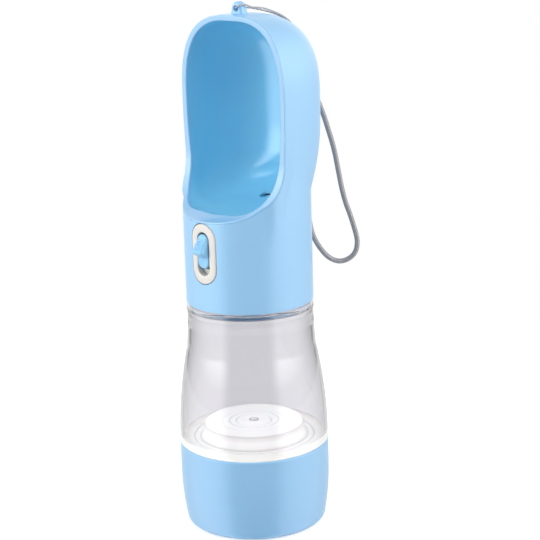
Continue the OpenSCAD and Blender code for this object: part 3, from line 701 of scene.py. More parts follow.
# %% Cut the slot and the outlet
BEZEL_H, BEZEL_W, BEZEL_L, SLOT_W, SLOT_L, BEZEL_PROUD = 30.5, 16.5, 31.7, 8.3, 22.8, 0.4
OUTLET_Y, OUTLET_R, SPIGOT_R, SPIGOT_L = 14.0, 3.0, 3.7, 5.0
GROOVE = 0.7                        # wider than the bezel, which leaves a fine dark groove round it
SLOT_CUT, OUTLET_CUT = (-40.0, -24.0), (48.0, 57.0)
RIM_TO_BOWL_SHADE = (0.3, 2.2)              # how far behind the cut the rim's paler tone gives way to the bowl's painted shade


def cut_out(piece, outline_rows):
    """Subtracts the closed body between two rows of points from a piece, and keeps the result."""
    cutter = grid_piece("cutter", np.array(outline_rows), close_ends=True)
    modifier = piece.modifiers.new("hole", "BOOLEAN")
    modifier.operation = "DIFFERENCE"
    modifier.solver = "EXACT"
    modifier.object = cutter
    bpy.context.view_layer.update()
    cut = bpy.data.meshes.new_from_object(piece.evaluated_get(bpy.context.evaluated_depsgraph_get()))
    piece.modifiers.clear()
    cut.set_sharp_from_angle(angle=math.radians(50))
    piece.data = cut
    bpy.data.objects.remove(cutter)
    print(f"{piece.name}: {len(cut.polygons)} faces after its hole")


slot_h, slot_x = oval(BEZEL_L + GROOVE, BEZEL_W + GROOVE, 160).T
cut_out(head_shell, [joined(slot_x, y, slot_h + HEAD_Z + BEZEL_H) for y in SLOT_CUT])
outlet_angle = round_angles(72)
outlet_x, outlet_y = OUTLET_R * np.cos(outlet_angle), OUTLET_Y + OUTLET_R * np.sin(outlet_angle)
cut_out(trough_liner, [joined(outlet_x, outlet_y, HEAD_Z + z) for z in OUTLET_CUT])

# %% [markdown]
# ## Painted shade of the trough's bowl
# The rim's curved face is a little greyer than the bowl, whose deeper, more saturated blue is
# painted shade of the bowl's depth. Each point of the liner keeps how much it belongs to the rim,
# which falls off behind the cut.

# %% Rim's share of each point
def behind_cut(y, h):
    """How far a point lies behind the rim's cut: from its upright part, or from its quarter round."""
    below = np.hypot(y - RIM_CENTRE_Y, h - RIM_CENTRE_H) - RIM_ARC_R
    return np.where(h > RIM_CENTRE_H, y + RIM_FACE, below)


_, liner_y, liner_z = point_places(trough_liner).T
# 1 on the rim's paler tone, falling to 0 where the bowl's painted shade takes over.
rim_share = 1 - smooth_step(behind_cut(liner_y, liner_z - HEAD_Z), *RIM_TO_BOWL_SHADE)
store_per_point(trough_liner, "rim_share", rim_share)
print(f"rim's tone on {(rim_share > 0).sum()} of {len(rim_share)} points")

# %% [markdown]
# ## Strap lug
# The lug is a flat tab with a round top and an eye, moulded on the crown. It is drawn as an
# outline that goes round the tab, and rows that go from the eye over the softened edges and back
# through the other face to the eye.

# %% Strap lug
LUG_W, LUG_T, EYE_R, LUG_Y, LUG_EYE_H = 7.0, 5.4, 1.4, -1.2, HEAD_H + 2.7
LUG_FOOT, LUG_FLARE = HEAD_H - 4.0, 1.6
LUG_SOFT, EYE_SOFT = 1.9, 0.6


def lug_grid(columns=96):
    """Round the eye and round the tab are two outlines with the same angles; rows blend between them."""
    angle = round_angles(columns)
    c, s = np.cos(angle), np.sin(angle)
    half, down = LUG_W / 2, LUG_EYE_H - LUG_FOOT
    flared = half / np.maximum(np.abs(c) + LUG_FLARE * s / down, TINY)
    box_reach = np.minimum(flared, down / np.maximum(-s, TINY))
    tab = np.where(s >= 0, half, box_reach)
    rows = []
    for near, far in zip(*quarter_round(EYE_SOFT, quarter_turn(6))):
        rows.append((EYE_R + near, far))
    for near, far in zip(*quarter_round(LUG_SOFT, quarter)):
        rows.append((tab - far, near))
    grid = []
    for sign, listed in ((-1, rows), (1, rows[::-1])):
        for reach, cut in listed:
            y = LUG_Y + sign * (LUG_T / 2 - cut)
            grid.append(joined(reach * c, y, LUG_EYE_H + HEAD_Z + reach * s))
    return np.array(grid)


strap_lug = grid_piece("strap_lug", lug_grid(), wrap_rows=True, sharp_degrees=40)
dressed(strap_lug, "head", "head_shell")

# %% [markdown]
# ## Bezel
# The cream bezel follows the head's round front. Its cross-section goes from the slot's edge over
# a gently crowned face to a rounded outer edge, and is carried round a slot-shaped outline.

# %% Bezel
BEZEL_EDGE_IN, BEZEL_ROUND_IN, BEZEL_RAISED = 0.9, 0.5, 0.12
BEZEL_CROWN, BEZEL_ROUND_OUT, BEZEL_DROP_OUT = 0.28, 0.7, 0.75
BEZEL_DEEP, BEZEL_EDGE_OUT = 1.4, 0.8


def bezel_section():
    """The section as (share between inner and outer edge, radius from the head's axis)."""
    face = HEAD_R + BEZEL_PROUD
    back = HEAD_R - SHELL_WALL - 0.05
    inner = face - BEZEL_EDGE_IN
    per_mm = 2 / (BEZEL_W - SLOT_W)
    section = [(0, back - BEZEL_DEEP), (0, back), (0, inner)]
    for t in quarter:
        rise = BEZEL_ROUND_IN * math.sin(t) + BEZEL_RAISED
        section.append((BEZEL_ROUND_IN * (1 - math.cos(t)) * per_mm, inner + rise))
    for share in np.linspace(0.2, 0.82, 12):
        crown = math.sin(math.pi * (share + 0.12) / 1.24)
        section.append((share, face - BEZEL_CROWN + BEZEL_CROWN * crown))
    for near, far in zip(*quarter_round(1, quarter)):
        section.append((1 - BEZEL_ROUND_OUT * far * per_mm, face - 0.05 - BEZEL_DROP_OUT * near))
    return section + [(1, HEAD_R - BEZEL_EDGE_OUT), (1, back)]


def bezel_grid(columns=240):
    """The section carried round: slot outlines between the inner edge at 0 and the outer edge at 1."""
    rows = []
    for share, radius in bezel_section():
        length, width = SLOT_L + (BEZEL_L - SLOT_L) * share, SLOT_W + (BEZEL_W - SLOT_W) * share
        h, x = oval(length, width, columns).T
        rows.append(joined(x, -np.sqrt(radius ** 2 - x ** 2), h + HEAD_Z + BEZEL_H))
    return np.array(rows)


bezel = grid_piece("bezel_moulded", bezel_grid(), wrap_rows=True, sharp_degrees=45)
dressed(bezel, "head", "bezel")

# %% [markdown]
# ## Button
# The button is a small block in the slot with a thumb wedge: a long ribbed slope, a blunt nose and
# a short underside. Its front is one height over the slot-shaped outline, the greater of the flat
# face and the wedge, with ribs added on the slope.

# %% Button
BUTTON_L, BUTTON_W = 18.0, 7.4
BUTTON_H = BEZEL_H + (SLOT_L - BUTTON_L) / 2 - 1.0
BUTTON_FACE = HEAD_R + 0.1
WEDGE_OUT, WEDGE_TOP, WEDGE_FOOT, NOSE_H, CHEEK_R = 4.2, 7.3, -3.5, 0.3, 1.7
RISE_MORE, FALL_MORE, NOSE_BLEND, FACE_BLEND = 0.75, 1.6, 2.4, 0.5
RIB_PITCH, RIB_DEPTH = 1.15, 0.3
DIMPLE_H, DIMPLE_DEPTH, DIMPLE_SPREAD = -5.2, 0.45, 0.9
BUTTON_SOFT = 0.6
BUTTON_BACK_ROWS = ((3.69, 30.4), (2.0, 30.4), (0.3, 30.4), (0, 30.7))      # inset and depth of each


def soft_max(a, b, width):
    """The greater of two heights, blended where they are nearly equal."""
    near = np.clip(width - np.abs(a - b), 0, None)
    return np.maximum(a, b) + near ** 2 / (4 * width)


def button_front(x, h):
    """How far the button's front stands out at a place on its outline."""
    rise = (WEDGE_TOP - h) / (WEDGE_TOP - NOSE_H) * (WEDGE_OUT + RISE_MORE)
    fall = (h - WEDGE_FOOT) / (NOSE_H - WEDGE_FOOT) * (WEDGE_OUT + FALL_MORE)
    cheek = np.clip((np.abs(x) - BUTTON_W / 2 + CHEEK_R) / CHEEK_R, 0, 1)
    wedge = -soft_max(-rise, -fall, NOSE_BLEND) - CHEEK_R * (1 - np.sqrt(1 - 0.96 * cheek ** 2))
    above_nose = smooth_step(h, NOSE_H + 0.3, NOSE_H + 1.0)
    below_top = 1 - smooth_step(h, WEDGE_TOP - 1.3, WEDGE_TOP - 0.9)
    inside = 1 - smooth_step(np.abs(x), BUTTON_W / 2 - 1.0, BUTTON_W / 2 - 0.2)
    ribs = RIB_DEPTH * np.clip(np.sin(2 * np.pi * (h - NOSE_H) / RIB_PITCH), -0.2, 1)
    dimple = DIMPLE_DEPTH * np.exp(-((h - DIMPLE_H) ** 2 + x ** 2) / DIMPLE_SPREAD)
    return soft_max(wedge + ribs * above_nose * below_top * inside, 0 * h, FACE_BLEND) - dimple


def button_grid(columns=260):
    """Outlines that shrink towards the button's middle line, from the back, over the edge, to the front."""
    rows = []

    def outline(inset):
        return oval(BUTTON_L - 2 * inset, BUTTON_W - 2 * inset, columns).T

    for inset, depth in BUTTON_BACK_ROWS:
        h, x = outline(inset)
        rows.append(joined(x, -depth, h + HEAD_Z + BUTTON_H))
    level = np.linspace(BUTTON_SOFT, BUTTON_W / 2 - 0.01, 34)[1:]
    near, far = quarter_round(BUTTON_SOFT, quarter)
    for inset, drop in zip([*near, *level], [*far, *(0 * level)]):
        h, x = outline(inset)
        rows.append(joined(x, drop - BUTTON_FACE - button_front(x, h), h + HEAD_Z + BUTTON_H))
    return np.array(rows)


push_button = grid_piece("push_button_moulded", button_grid(), sharp_degrees=60)
dressed(push_button, "button", "push_button")

# %% [markdown]
# ## Food cup
# The cup is turned: a profile goes up the outside from the foot ring, over the rim, down the
# inside, and back under the floor. Its foot edge is well rounded and its side draws in slightly.

# %% Food cup
ON_AXIS = 0.01                      # turned pieces stop this close to their axis
CUP_R, CUP_H, CUP_WALL, FOOT_ROUND = 40.0, 45.0, 2.2, 4.0
FOOT_ARC_R, FOOT_ARC_H, FOOT_RECESS, FOOT_RING_W = 152.0, 30.0, 0.8, 4.0
CUP_RIM_ROUND, CUP_RIM_STEP, CUP_RIM_SOFT, FOOT_LIP = 0.7, 1.2, 0.3, 0.4


def cup_radius(z):
    """The cup's outer radius: a large circle below, and upright above."""
    return CUP_R - FOOT_ARC_R + np.sqrt(FOOT_ARC_R ** 2 - np.clip(FOOT_ARC_H - z, 0, None) ** 2)


def cup_side(inset, foot, count):
    """Radius and height from the foot's rounding up to where the side is upright."""
    near, far = quarter_round(FOOT_ROUND, quarter_turn(14))
    start = foot + FOOT_ROUND
    base = cup_radius(start) - inset
    low = joined(base - far, foot + near)
    z = np.linspace(start, FOOT_ARC_H, count)[1:]
    return np.vstack([low, joined(cup_radius(z) - inset, z)])


foot_in = float(cup_radius(FOOT_ROUND)) - FOOT_ROUND - FOOT_RING_W
cup_in = CUP_R - CUP_WALL
rim_low = CUP_H - CUP_RIM_STEP
cup_profile = np.vstack([
    [[ON_AXIS, FOOT_RECESS], [foot_in - 2 * FOOT_LIP, FOOT_RECESS]],
    arc((foot_in - FOOT_LIP / 2, FOOT_LIP), FOOT_LIP, 135, 200, 4),
    cup_side(0, 0, 24), [[CUP_R, 38], [CUP_R, CUP_H - 0.8]],
    arc((CUP_R - CUP_RIM_ROUND, CUP_H - CUP_RIM_ROUND), CUP_RIM_ROUND, 0, 90, 8),
    [[CUP_R - 0.78, CUP_H], [CUP_R - 0.82, rim_low], [cup_in + CUP_RIM_SOFT, rim_low]],
    arc((cup_in + CUP_RIM_SOFT, rim_low - CUP_RIM_SOFT), CUP_RIM_SOFT, 90, 180, 5), [[cup_in, 40]],
    cup_side(CUP_WALL, CUP_WALL, 20)[::-1], [[20, CUP_WALL], [ON_AXIS, CUP_WALL]]])
food_cup = revolved("food_cup_moulded", cup_profile, 240, sharp_degrees=40)
dressed(food_cup, "cup", "food_cup")

# %% [markdown]
# ## Screw threads
# Each thread is a ridge that runs round a wall in a helix: a small rounded trapezium carried along
# the helix, which fades in and out at its ends. Neck and skirt carry outside threads, and the
# collar and the cup carry the inside threads between them.

# %% Threads
THREAD_PITCH, THREAD_DEPTH, THREAD_END = 5.0, 1.1, 0.12
THREAD_ROOT, THREAD_ROOT_H = 0.25, 0.95             # how deep the root is sunk, and half its height
THREAD_FADE = 0.5                                   # radians over which an end fades out
THREAD_FACE = ((0, -0.85), (0.7, -0.42), (1, -0.25), (1, 0.25), (0.7, 0.42), (0, 0.85))


def thread(name, body, wall_r, start_z, turns, inward=False):
    """A helical ridge on a round wall, whose section is (share of its depth, rise), with tapered ends."""
    angle = np.linspace(0, 2 * np.pi * turns, int(120 * turns))
    last = angle[-1]
    fade = smooth_step(angle, 0, THREAD_FADE) * (1 - smooth_step(angle, last - THREAD_FADE, last))
    way = -1 if inward else 1
    stand = (THREAD_END + (THREAD_DEPTH - THREAD_END) * fade) * way
    sunk = 0 * stand - THREAD_ROOT * way
    section = [(sunk, -THREAD_ROOT_H)] + [(share * stand, rise) for share, rise in THREAD_FACE]
    section.append((sunk, THREAD_ROOT_H))
    z = start_z + THREAD_PITCH * angle / (2 * np.pi)
    rings = []
    for out, rise in section:
        r = wall_r + out
        rings.append(joined(r * np.cos(angle), r * np.sin(angle), z + rise))
    piece = grid_piece(name, np.array(rings).transpose(1, 0, 2), close_ends=True, sharp_degrees=50)
    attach(piece, body)
    return piece


BOTTLE_Z, BOTTLE_H, BOTTLE_WALL, NECK_R, NECK_H = 45.3, 77.2, 2.0, 27.5, 14.2
SCREW_GAP = 1.7
SKIRT_R, SKIRT_WALL, SKIRT_H = cup_in - SCREW_GAP, 2.0, 10.0
NECK_Z = BOTTLE_Z + BOTTLE_H
neck_thread = thread("neck_thread", "bottle", NECK_R, NECK_Z + 3.4, 1.5)
skirt_thread = thread("skirt_thread", "bottle", SKIRT_R, BOTTLE_Z - 8.4, 1.0)
collar_thread = thread("collar_thread", "head", NECK_R + SCREW_GAP, HEAD_Z + 5.4, 1.2,
                       inward=True)
cup_thread = thread("cup_thread", "cup", cup_in, CUP_H - 5.6, 0.6, inward=True)

# %% [markdown]
# ## Clear bottle
# The bottle is moulded in one piece with a wall two millimetres thick. The wall matters: clear
# plastic shows its edges through refraction, so the profile goes up the outside, over the neck and
# down the inside, and the light bends at both faces.

# %% Clear bottle
BELLY_ARC_R, SHOULDER_ROUND = 255.0, 2.8
BELLY_H = math.sqrt(BELLY_ARC_R ** 2 - (BELLY_ARC_R - (CUP_R - HEAD_R)) ** 2)
BELLY_ROWS, STRAIGHT_ROWS = 46, 8
KINK_REACH, KINK_ROUNDS = 4, 60
NECK_FILLET, NECK_SOFT, NECK_FLARE = 0.6, 0.5, 1.0


def soften_kink(profile, row):
    """Averages neighbouring points again and again, which rounds the line from belly to cylinder."""
    part = profile[row - KINK_REACH:row + KINK_REACH + 1]
    for _ in range(KINK_ROUNDS):
        part[1:-1] = (part[:-2] + 2 * part[1:-1] + part[2:]) / 4
    return profile


def bottle_side(inset, foot, top):
    """Radius and height from the foot up the belly and the cylinder, and round the shoulder."""
    h = np.linspace(foot, BELLY_H, BELLY_ROWS)
    belly = joined(CUP_R - BELLY_ARC_R + np.sqrt(BELLY_ARC_R ** 2 - h ** 2) - inset, BOTTLE_Z + h)
    straight = joined(HEAD_R - inset, np.linspace(BOTTLE_Z + BELLY_H + 1.2, top, STRAIGHT_ROWS))
    centre = (HEAD_R - inset - SHOULDER_ROUND, NECK_Z - inset - SHOULDER_ROUND)
    shoulder = arc(centre, SHOULDER_ROUND, 0, 90, 12)
    return soften_kink(np.vstack([belly, straight, shoulder]), BELLY_ROWS)


neck_in, neck_top = NECK_R - BOTTLE_WALL, NECK_Z + NECK_H
fillet_r = NECK_R + NECK_FILLET
bottle_profile = np.vstack([
    [[CUP_R - 0.5, BOTTLE_Z]], bottle_side(0, 0.5, NECK_Z - 3),
    [[fillet_r, NECK_Z]], arc((fillet_r, NECK_Z + NECK_FILLET), NECK_FILLET, 270, 180, 5),
    [[NECK_R, neck_top - NECK_FILLET]],
    arc((NECK_R - NECK_SOFT, neck_top - NECK_SOFT), NECK_SOFT, 0, 90, 5),
    arc((neck_in + NECK_SOFT, neck_top - NECK_SOFT), NECK_SOFT, 90, 180, 5), [[neck_in, NECK_Z + 1]],
    arc((neck_in + NECK_FLARE, NECK_Z - BOTTLE_WALL + NECK_FLARE), NECK_FLARE, 180, 270, 5),
    bottle_side(BOTTLE_WALL, 0, NECK_Z - 6)[::-1]])
bottle_body = revolved("bottle_body_clear", bottle_profile, 240, sharp_degrees=60)
dressed(bottle_body, "bottle", "bottle_body")

# %% [markdown]
# ## Bottle floor
# The floor is a white disc welded in: a raised plateau with faint turning rings and a gate mark in
# its middle, a ring line round it, a small weld bead along the wall, and a threaded skirt that
# enters the cup. The bead has melted a little into the clear wall, so no air lies between the two
# and the wall's foot looks white right out to its edge.

# %% Bottle floor
PLATEAU_R, PLATEAU_H, PLATEAU_TOP, FLOOR_T, DRAFT = 27.0, 8.0, 9.4, 2.0, 1.5
WELD_R, WELD_IN = 2.2, 0.2         # the weld bead along the wall, and how far it has melted into it
TURNED_RINGS = ((9.5, 0.22, -0.25), (13.2, 0.3, 0.16), (17, 0.3, -0.14))    # radius, width, height
GATE_RING = (0.5, 1.5, 1.8, 2.4, 2.7)               # height, then where it rises and where it falls
GATE_DOT = (0.3, 0.5, 0.9)                          # height, then where it falls
LEDGE, LEDGE_H = (31.9, 32.2, 32.8, 33.1), 0.35


def floor_top():
    """Radius and height along the floor's upper side, from the middle out, with rings and gate mark."""
    r = np.linspace(ON_AXIS, PLATEAU_R - 1.6, 150)
    dished = PLATEAU_TOP + sum(rise * np.exp(-((r - at) / width) ** 2) for at, width, rise in TURNED_RINGS)
    ring_h, up, upper, down, lower = GATE_RING
    dot_h, dot_r, dot_end = GATE_DOT
    gate = ring_h * smooth_step(r, up, upper) * (1 - smooth_step(r, down, lower))
    gate = gate + dot_h * (1 - smooth_step(r, dot_r, dot_end))
    edge = arc((PLATEAU_R - 1.5, PLATEAU_TOP - 1.5), 1.5, 88, 6, 12)
    wall = [[PLATEAU_R + 0.4, 5.6], [PLATEAU_R + 1.0, 3.2]]
    foot = arc((PLATEAU_R + 2.3, FLOOR_T + 1.0), 1.0, 190, 270, 8)
    at_wall = CUP_R - BOTTLE_WALL + WELD_IN
    r2 = np.linspace(PLATEAU_R + 2.6, at_wall - WELD_R - 0.1, 60)
    ledge = FLOOR_T + LEDGE_H * (smooth_step(r2, *LEDGE[:2]) - smooth_step(r2, *LEDGE[2:]))
    bead = arc((at_wall - WELD_R, FLOOR_T + WELD_R), WELD_R, 270, 358, 10)
    return np.vstack([joined(r, dished + gate), edge, wall, foot, joined(r2, ledge), bead])


SKIRT_SOFT, SKIRT_TOP_SOFT, HOLLOW_ROUND = 0.4, 0.2, 0.8
skirt_low = SKIRT_SOFT - SKIRT_H
skirt_in, hollow_r = SKIRT_R - SKIRT_WALL, PLATEAU_R - FLOOR_T
floor_profile = np.vstack([
    floor_top(), [[CUP_R - BOTTLE_WALL + WELD_IN, 0.1], [SKIRT_R + SKIRT_TOP_SOFT, 0]],
    arc((SKIRT_R + SKIRT_TOP_SOFT, -SKIRT_TOP_SOFT), SKIRT_TOP_SOFT, 90, 180, 3), [[SKIRT_R, skirt_low]],
    arc((SKIRT_R - SKIRT_SOFT, skirt_low), SKIRT_SOFT, 0, -90, 5),
    arc((skirt_in + SKIRT_SOFT, skirt_low), SKIRT_SOFT, 270, 180, 5),
    [[skirt_in, 0], [hollow_r + DRAFT, 0], [hollow_r, PLATEAU_H - HOLLOW_ROUND]],
    arc((hollow_r - HOLLOW_ROUND, PLATEAU_H - HOLLOW_ROUND), HOLLOW_ROUND, 0, 90, 5),
    [[ON_AXIS, PLATEAU_H]]]) + [0, BOTTLE_Z]
bottle_floor = revolved("bottle_floor_moulded", floor_profile, 220, sharp_degrees=45)
dressed(bottle_floor, "bottle", "bottle_floor")

# %% [markdown]
# ## Painted shade lines of the floor
# Steps this low hold a line of shade along their foot. Each point of the floor keeps how much it
# lies on such a line, and the white finish is painted a little greyer there, as painted shade.

# %% Painted shade lines of the floor
# Each line has a radius, a width and a depth of painted shade.
SHADE_LINES = ((2.15, 0.4, 1.0), (0.6, 0.4, 0.6), (9.5, 0.4, 0.25), (13.2, 0.5, 0.3), (17.0, 0.4, 0.18),
         (PLATEAU_R - 0.35, 0.5, 0.5), (PLATEAU_R + 1.9, 0.6, 0.45), (32.4, 0.45, 0.4))
floor_x, floor_y, floor_z = point_places(bottle_floor).T
from_axis = np.hypot(floor_x, floor_y)
mould_line = sum(depth * np.exp(-((from_axis - r) / width) ** 2) for r, width, depth in SHADE_LINES)
mould_line = np.where(floor_z - BOTTLE_Z > 0.5, np.clip(mould_line, 0, 1), 0)
store_per_point(bottle_floor, "mould_line", mould_line)
print("painted shade lines at radii", [r for r, _, _ in SHADE_LINES])

# %% [markdown]
# ## Seals, springs and inner works
# The seals are soft rings with rounded edges. The two springs are round wire wound in an even
# coil, so each is a tube along a helix. The other inner pieces keep the model's own solids.

# %% Seals
def ring_profile(inner, outer, low, high, soft):
    """A rectangular ring section with four rounded corners, listed round."""
    left, right, foot, top = inner + soft, outer - soft, low + soft, high - soft
    corners = ((right, foot, -90), (right, top, 0), (left, top, 90), (left, foot, 180))
    return np.vstack([arc((r, z), soft, start, start + 90, 5) for r, z, start in corners])


def seal(name, body, stands_for, inner, outer, low, high, soft, columns):
    """A silicone ring between two radii and two heights."""
    piece = revolved(name, ring_profile(inner, outer, low, high, soft), columns)
    return dressed(piece, body, stands_for)


PLATE_Z = HEAD_Z + NECK_H + 0.8     # underside of the head's valve plate
# Each seal has its inner and outer radius, its low and high side, its rounding and its columns.
cup_gasket = seal("cup_gasket_ring", "cup_ring", "cup_gasket", 37.42, 39.08, 43.85, 45.19, 0.3, 200)
neck_seal = seal("neck_seal_ring", "neck_ring", "neck_seal", 24.92, 28.08, PLATE_Z - 0.99,
                 PLATE_Z - 0.01, 0.3, 200)
valve_seal = seal("valve_seal_disc", "valve", "valve_seal", 1.53, 6.48, PLATE_Z - 1.89,
                  PLATE_Z - 0.11, 0.4, 96)

# %% [markdown]
# ## Springs
# Both springs are wire wound in even turns.

# %% Springs
WIRE_D, WIRE_SIDES, COIL_STEPS = 0.6, 12, 40
BUTTON_COIL_R, BUTTON_TURNS = 2.1, 5
VALVE_COIL_R, VALVE_TURNS = 2.4, 3


def coil(radius, length, turns):
    """Across, aside and along of a helix whose ends lie half a wire inside the given length."""
    t = np.linspace(0, turns, turns * COIL_STEPS + 1)
    turned = 2 * np.pi * t
    return radius * np.cos(turned), radius * np.sin(turned), WIRE_D / 2 + (length - WIRE_D) * t / turns


def spring(name, path, stands_for):
    """Round wire along a path, in place of the model's spring, which is hidden."""
    radius = np.full((len(path), WIRE_SIDES), WIRE_D / 2)
    wire = tube_grid(path, radius, round_angles(WIRE_SIDES), (1, 0.1, 0))
    piece = grid_piece(name, wire, close_ends=True)
    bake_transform(piece)
    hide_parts(stands_for)
    return piece


low, high = (np.array(corner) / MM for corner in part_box("button_spring"))
across, aside, along_y = coil(BUTTON_COIL_R, high[1] - low[1], BUTTON_TURNS)
middle_z = (low[2] + high[2]) / 2
button_path = joined(across, low[1] + along_y, middle_z + aside)
button_spring = spring("button_spring_wire", button_path, "button_spring")
low, high = (np.array(corner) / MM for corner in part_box("valve_spring"))
across, aside, along_z = coil(VALVE_COIL_R, high[2] - low[2], VALVE_TURNS)
valve_path = joined(across, aside, low[2] + along_z)
valve_spring = spring("valve_spring_wire", valve_path, "valve_spring")

# %% [markdown]
# ## Outlet
# Under the trough's round outlet a short tube leads down to the silicone elbow.

# %% Outlet spigot
OUTLET_EDGE, SPIGOT_SOFT = 0.02, 0.2
SPIGOT_TOP = FLOOR_H + 1.0          # inside the thickness of the sloping floor
spigot_profile = ring_profile(OUTLET_R - OUTLET_EDGE, SPIGOT_R, HEAD_Z + FLOOR_H - SPIGOT_L,
                              HEAD_Z + SPIGOT_TOP, SPIGOT_SOFT)
spigot = revolved("outlet_spigot", spigot_profile, 72)
spigot.data.transform(Matrix.Translation((0, OUTLET_Y * MM, 0)))
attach(spigot, "head")

# %% [markdown]
# ## Finishes
# Each finish starts from a real material. Colours are written as the sRGB values that one would
# pick on a screen and are turned to linear light by one function. Moulded plastic is never quite
# flat: its gloss varies a little from the tool's polish, so a very fine noise moves roughness and
# surface height, at sizes given in real millimetres.

# %% Material helpers
def linear(hex_colour):
    """An sRGB hex colour such as #a9d6f6 as linear red, green, blue and 1."""
    values = [int(hex_colour[i:i + 2], 16) / 255 for i in (1, 3, 5)]
    return [v / 12.92 if v <= 0.04045 else ((v + 0.055) / 1.055) ** 2.4 for v in values] + [1.0]


def node(tree, kind, settings=None, **links):
    """Adds one node. Settings are attributes or input values; links name an input and what feeds it."""
    made = tree.nodes.new("ShaderNode" + kind)
    for key, value in (settings or {}).items():
        if key in made.inputs:
            made.inputs[key].default_value = value
        else:
            setattr(made, key, value)
    for key, source in links.items():
        title = key.replace("_", " ")
        tree.links.new(source, made.inputs[title] if title in made.inputs else made.inputs[int(key[1:])])
    return made


def finish(name, settings):
    """A new material with one Principled shader that holds the given values, and Object coordinates."""
    material = bpy.data.materials.new(name)
    material.use_nodes = True
    tree = material.node_tree
    shader = tree.nodes["Principled BSDF"]
    for key, value in settings.items():
        shader.inputs[key].default_value = value
    return material, tree, shader, node(tree, "TexCoord").outputs["Object"]


def noise(tree, place, millimetres, detail=2.0):
    """A noise with one cell in this many millimetres."""
    return node(tree, "TexNoise", {"Scale": 1 / (millimetres * MM), "Detail": detail}, Vector=place)


def mixed(tree, one, other, share, blend="MIX"):
    """A mix of two colours, each a hex value or another node's output."""
    made = node(tree, "MixRGB", {"blend_type": blend})
    for slot, value in (("Fac", share), ("Color1", one), ("Color2", other)):
        if isinstance(value, str):
            made.inputs[slot].default_value = linear(value)
        elif isinstance(value, float):
            made.inputs[slot].default_value = value
        else:
            tree.links.new(value, made.inputs[slot])
    return made.outputs["Color"]


def gloss_moves(tree, shader, texture, low, high):
    """Lets a noise move the roughness between two values."""
    gloss = node(tree, "MapRange", {"To Min": low, "To Max": high}, Value=texture.outputs["Fac"])
    tree.links.new(gloss.outputs["Result"], shader.inputs["Roughness"])


def surface_moves(tree, shader, texture, strength, distance):
    """Lets a noise raise the surface a little, by a distance in metres."""
    bump = node(tree, "Bump", {"Strength": strength, "Distance": distance}, Height=texture.outputs["Fac"])
    tree.links.new(bump.outputs["Normal"], shader.inputs["Normal"])


def give(material, *pieces):
    """Puts one material on whole pieces or on the model's own nodes."""
    for piece in pieces:
        piece.data.materials.clear()
        piece.data.materials.append(material)


# %% [markdown]
# ### Moulded ABS
# The blue parts are injection-moulded ABS, coloured through. A polished tool gives a soft gloss,
# roughness near 0.3, an index of 1.54 and no clear coat. Seen close, there is a faint
# orange-peel ripple about two millimetres across and a slight cloudiness in the colour.

# %% Moulded plastics
GLOSS_RANGE = 0.035                 # how far the roughness strays to either side
CLOUD_MM, RIPPLE_MM = 28, 2.2


def moulded(name, colour, deeper, roughness, ripple_mm=RIPPLE_MM, subsurface=0.0, marked=None):
    """Moulded plastic: two close tones in slow clouds, and a fine ripple in height and gloss.

    marked names a number kept on the points and the colour that shows where it is 1.
    """
    settings = {"IOR": 1.54, "Subsurface Weight": subsurface, "Subsurface Scale": 0.004}
    material, tree, shader, place = finish(name, settings)
    tone = mixed(tree, colour, deeper, noise(tree, place, CLOUD_MM).outputs["Fac"])
    if marked:
        share = node(tree, "Attribute", {"attribute_name": marked[0]}).outputs["Fac"]
        tone = mixed(tree, tone, marked[1], share)
    tree.links.new(tone, shader.inputs["Base Color"])
    ripple = noise(tree, place, ripple_mm, 3.0)
    gloss_moves(tree, shader, ripple, roughness - GLOSS_RANGE, roughness + GLOSS_RANGE)
    surface_moves(tree, shader, ripple, 0.05, 0.0002)
    return material


shell_abs = moulded("shell_abs_moulded", "#9ed1f7", "#99cdf5", 0.34)
cup_abs = moulded("cup_abs_moulded", "#9bcef5", "#96caf3", 0.32)
# The trough's deeper, more saturated blue is painted shade of its bowl; its rim keeps a paler, greyer tone.
trough_shaded_abs = moulded("trough_abs_painted_shade", "#8dd5f3", "#88d1f1", 0.18, marked=("rim_share", "#97c9f0"))
button_abs = moulded("button_abs_moulded", "#8fccf5", "#8ac8f3", 0.38, ripple_mm=1.2)
bezel_pom = moulded("bezel_abs_cream", "#e9e4de", "#e5e0da", 0.42, ripple_mm=1.5)
inner_pom = moulded("inner_pom_white", "#f3efe8", "#efeae2", 0.4, ripple_mm=1.5, subsurface=0.3)
# The floor's darker grey lines are painted shade along its low steps and rings.
floor_white = moulded("floor_white_moulded", "#eaeae5", "#e8e7e2", 0.2, ripple_mm=3.0, subsurface=0.1,
                      marked=("mould_line", "#8f8b8a"))
ferrule_plastic = moulded("ferrule_plastic_grey", "#8b8b92", "#83838a", 0.4, ripple_mm=1.0)

# %% [markdown]
# ### Clear copolyester
# The bottle is clear moulded plastic, index about 1.57, polished on both faces. A trace of grey in
# the colour is what two walls of real plastic take out of the light.

# %% Clear plastic
def clear_plastic():
    """Clear polished plastic with a very faint waviness, in streaks along the height."""
    material, tree, shader, place = finish("bottle_copolyester_clear", {
        "Base Color": linear("#f6f5f9"), "Transmission Weight": 1.0, "IOR": 1.57, "Roughness": 0.02})
    stretched = node(tree, "Mapping", {"Scale": (1, 1, 0.25)}, Vector=place).outputs["Vector"]
    surface_moves(tree, shader, noise(tree, stretched, 14, 1.0), 0.04, 0.0004)
    return material


clear = clear_plastic()

# %% [markdown]
# ### Silicone, spring steel and braid
# Silicone is soft and slightly see-through, so it is milky with a dull sheen. The springs are
# drawn steel wire. The cord is spun polyester: two greys for the two directions of the braid,
# painted shade in the hollows between strands, and fibres too fine to see drawn as a fine noise.

# %% Silicone, steel and cord
def silicone_finish():
    """Milky silicone: strong scattering under the surface and a dull, slightly dusty gloss."""
    material, tree, shader, place = finish("silicone_milky", {
        "Base Color": linear("#e6e7e8"), "IOR": 1.41, "Subsurface Weight": 0.5, "Subsurface Scale": 0.003})
    gloss_moves(tree, shader, noise(tree, place, 0.8, 4.0), 0.48, 0.62)
    return material


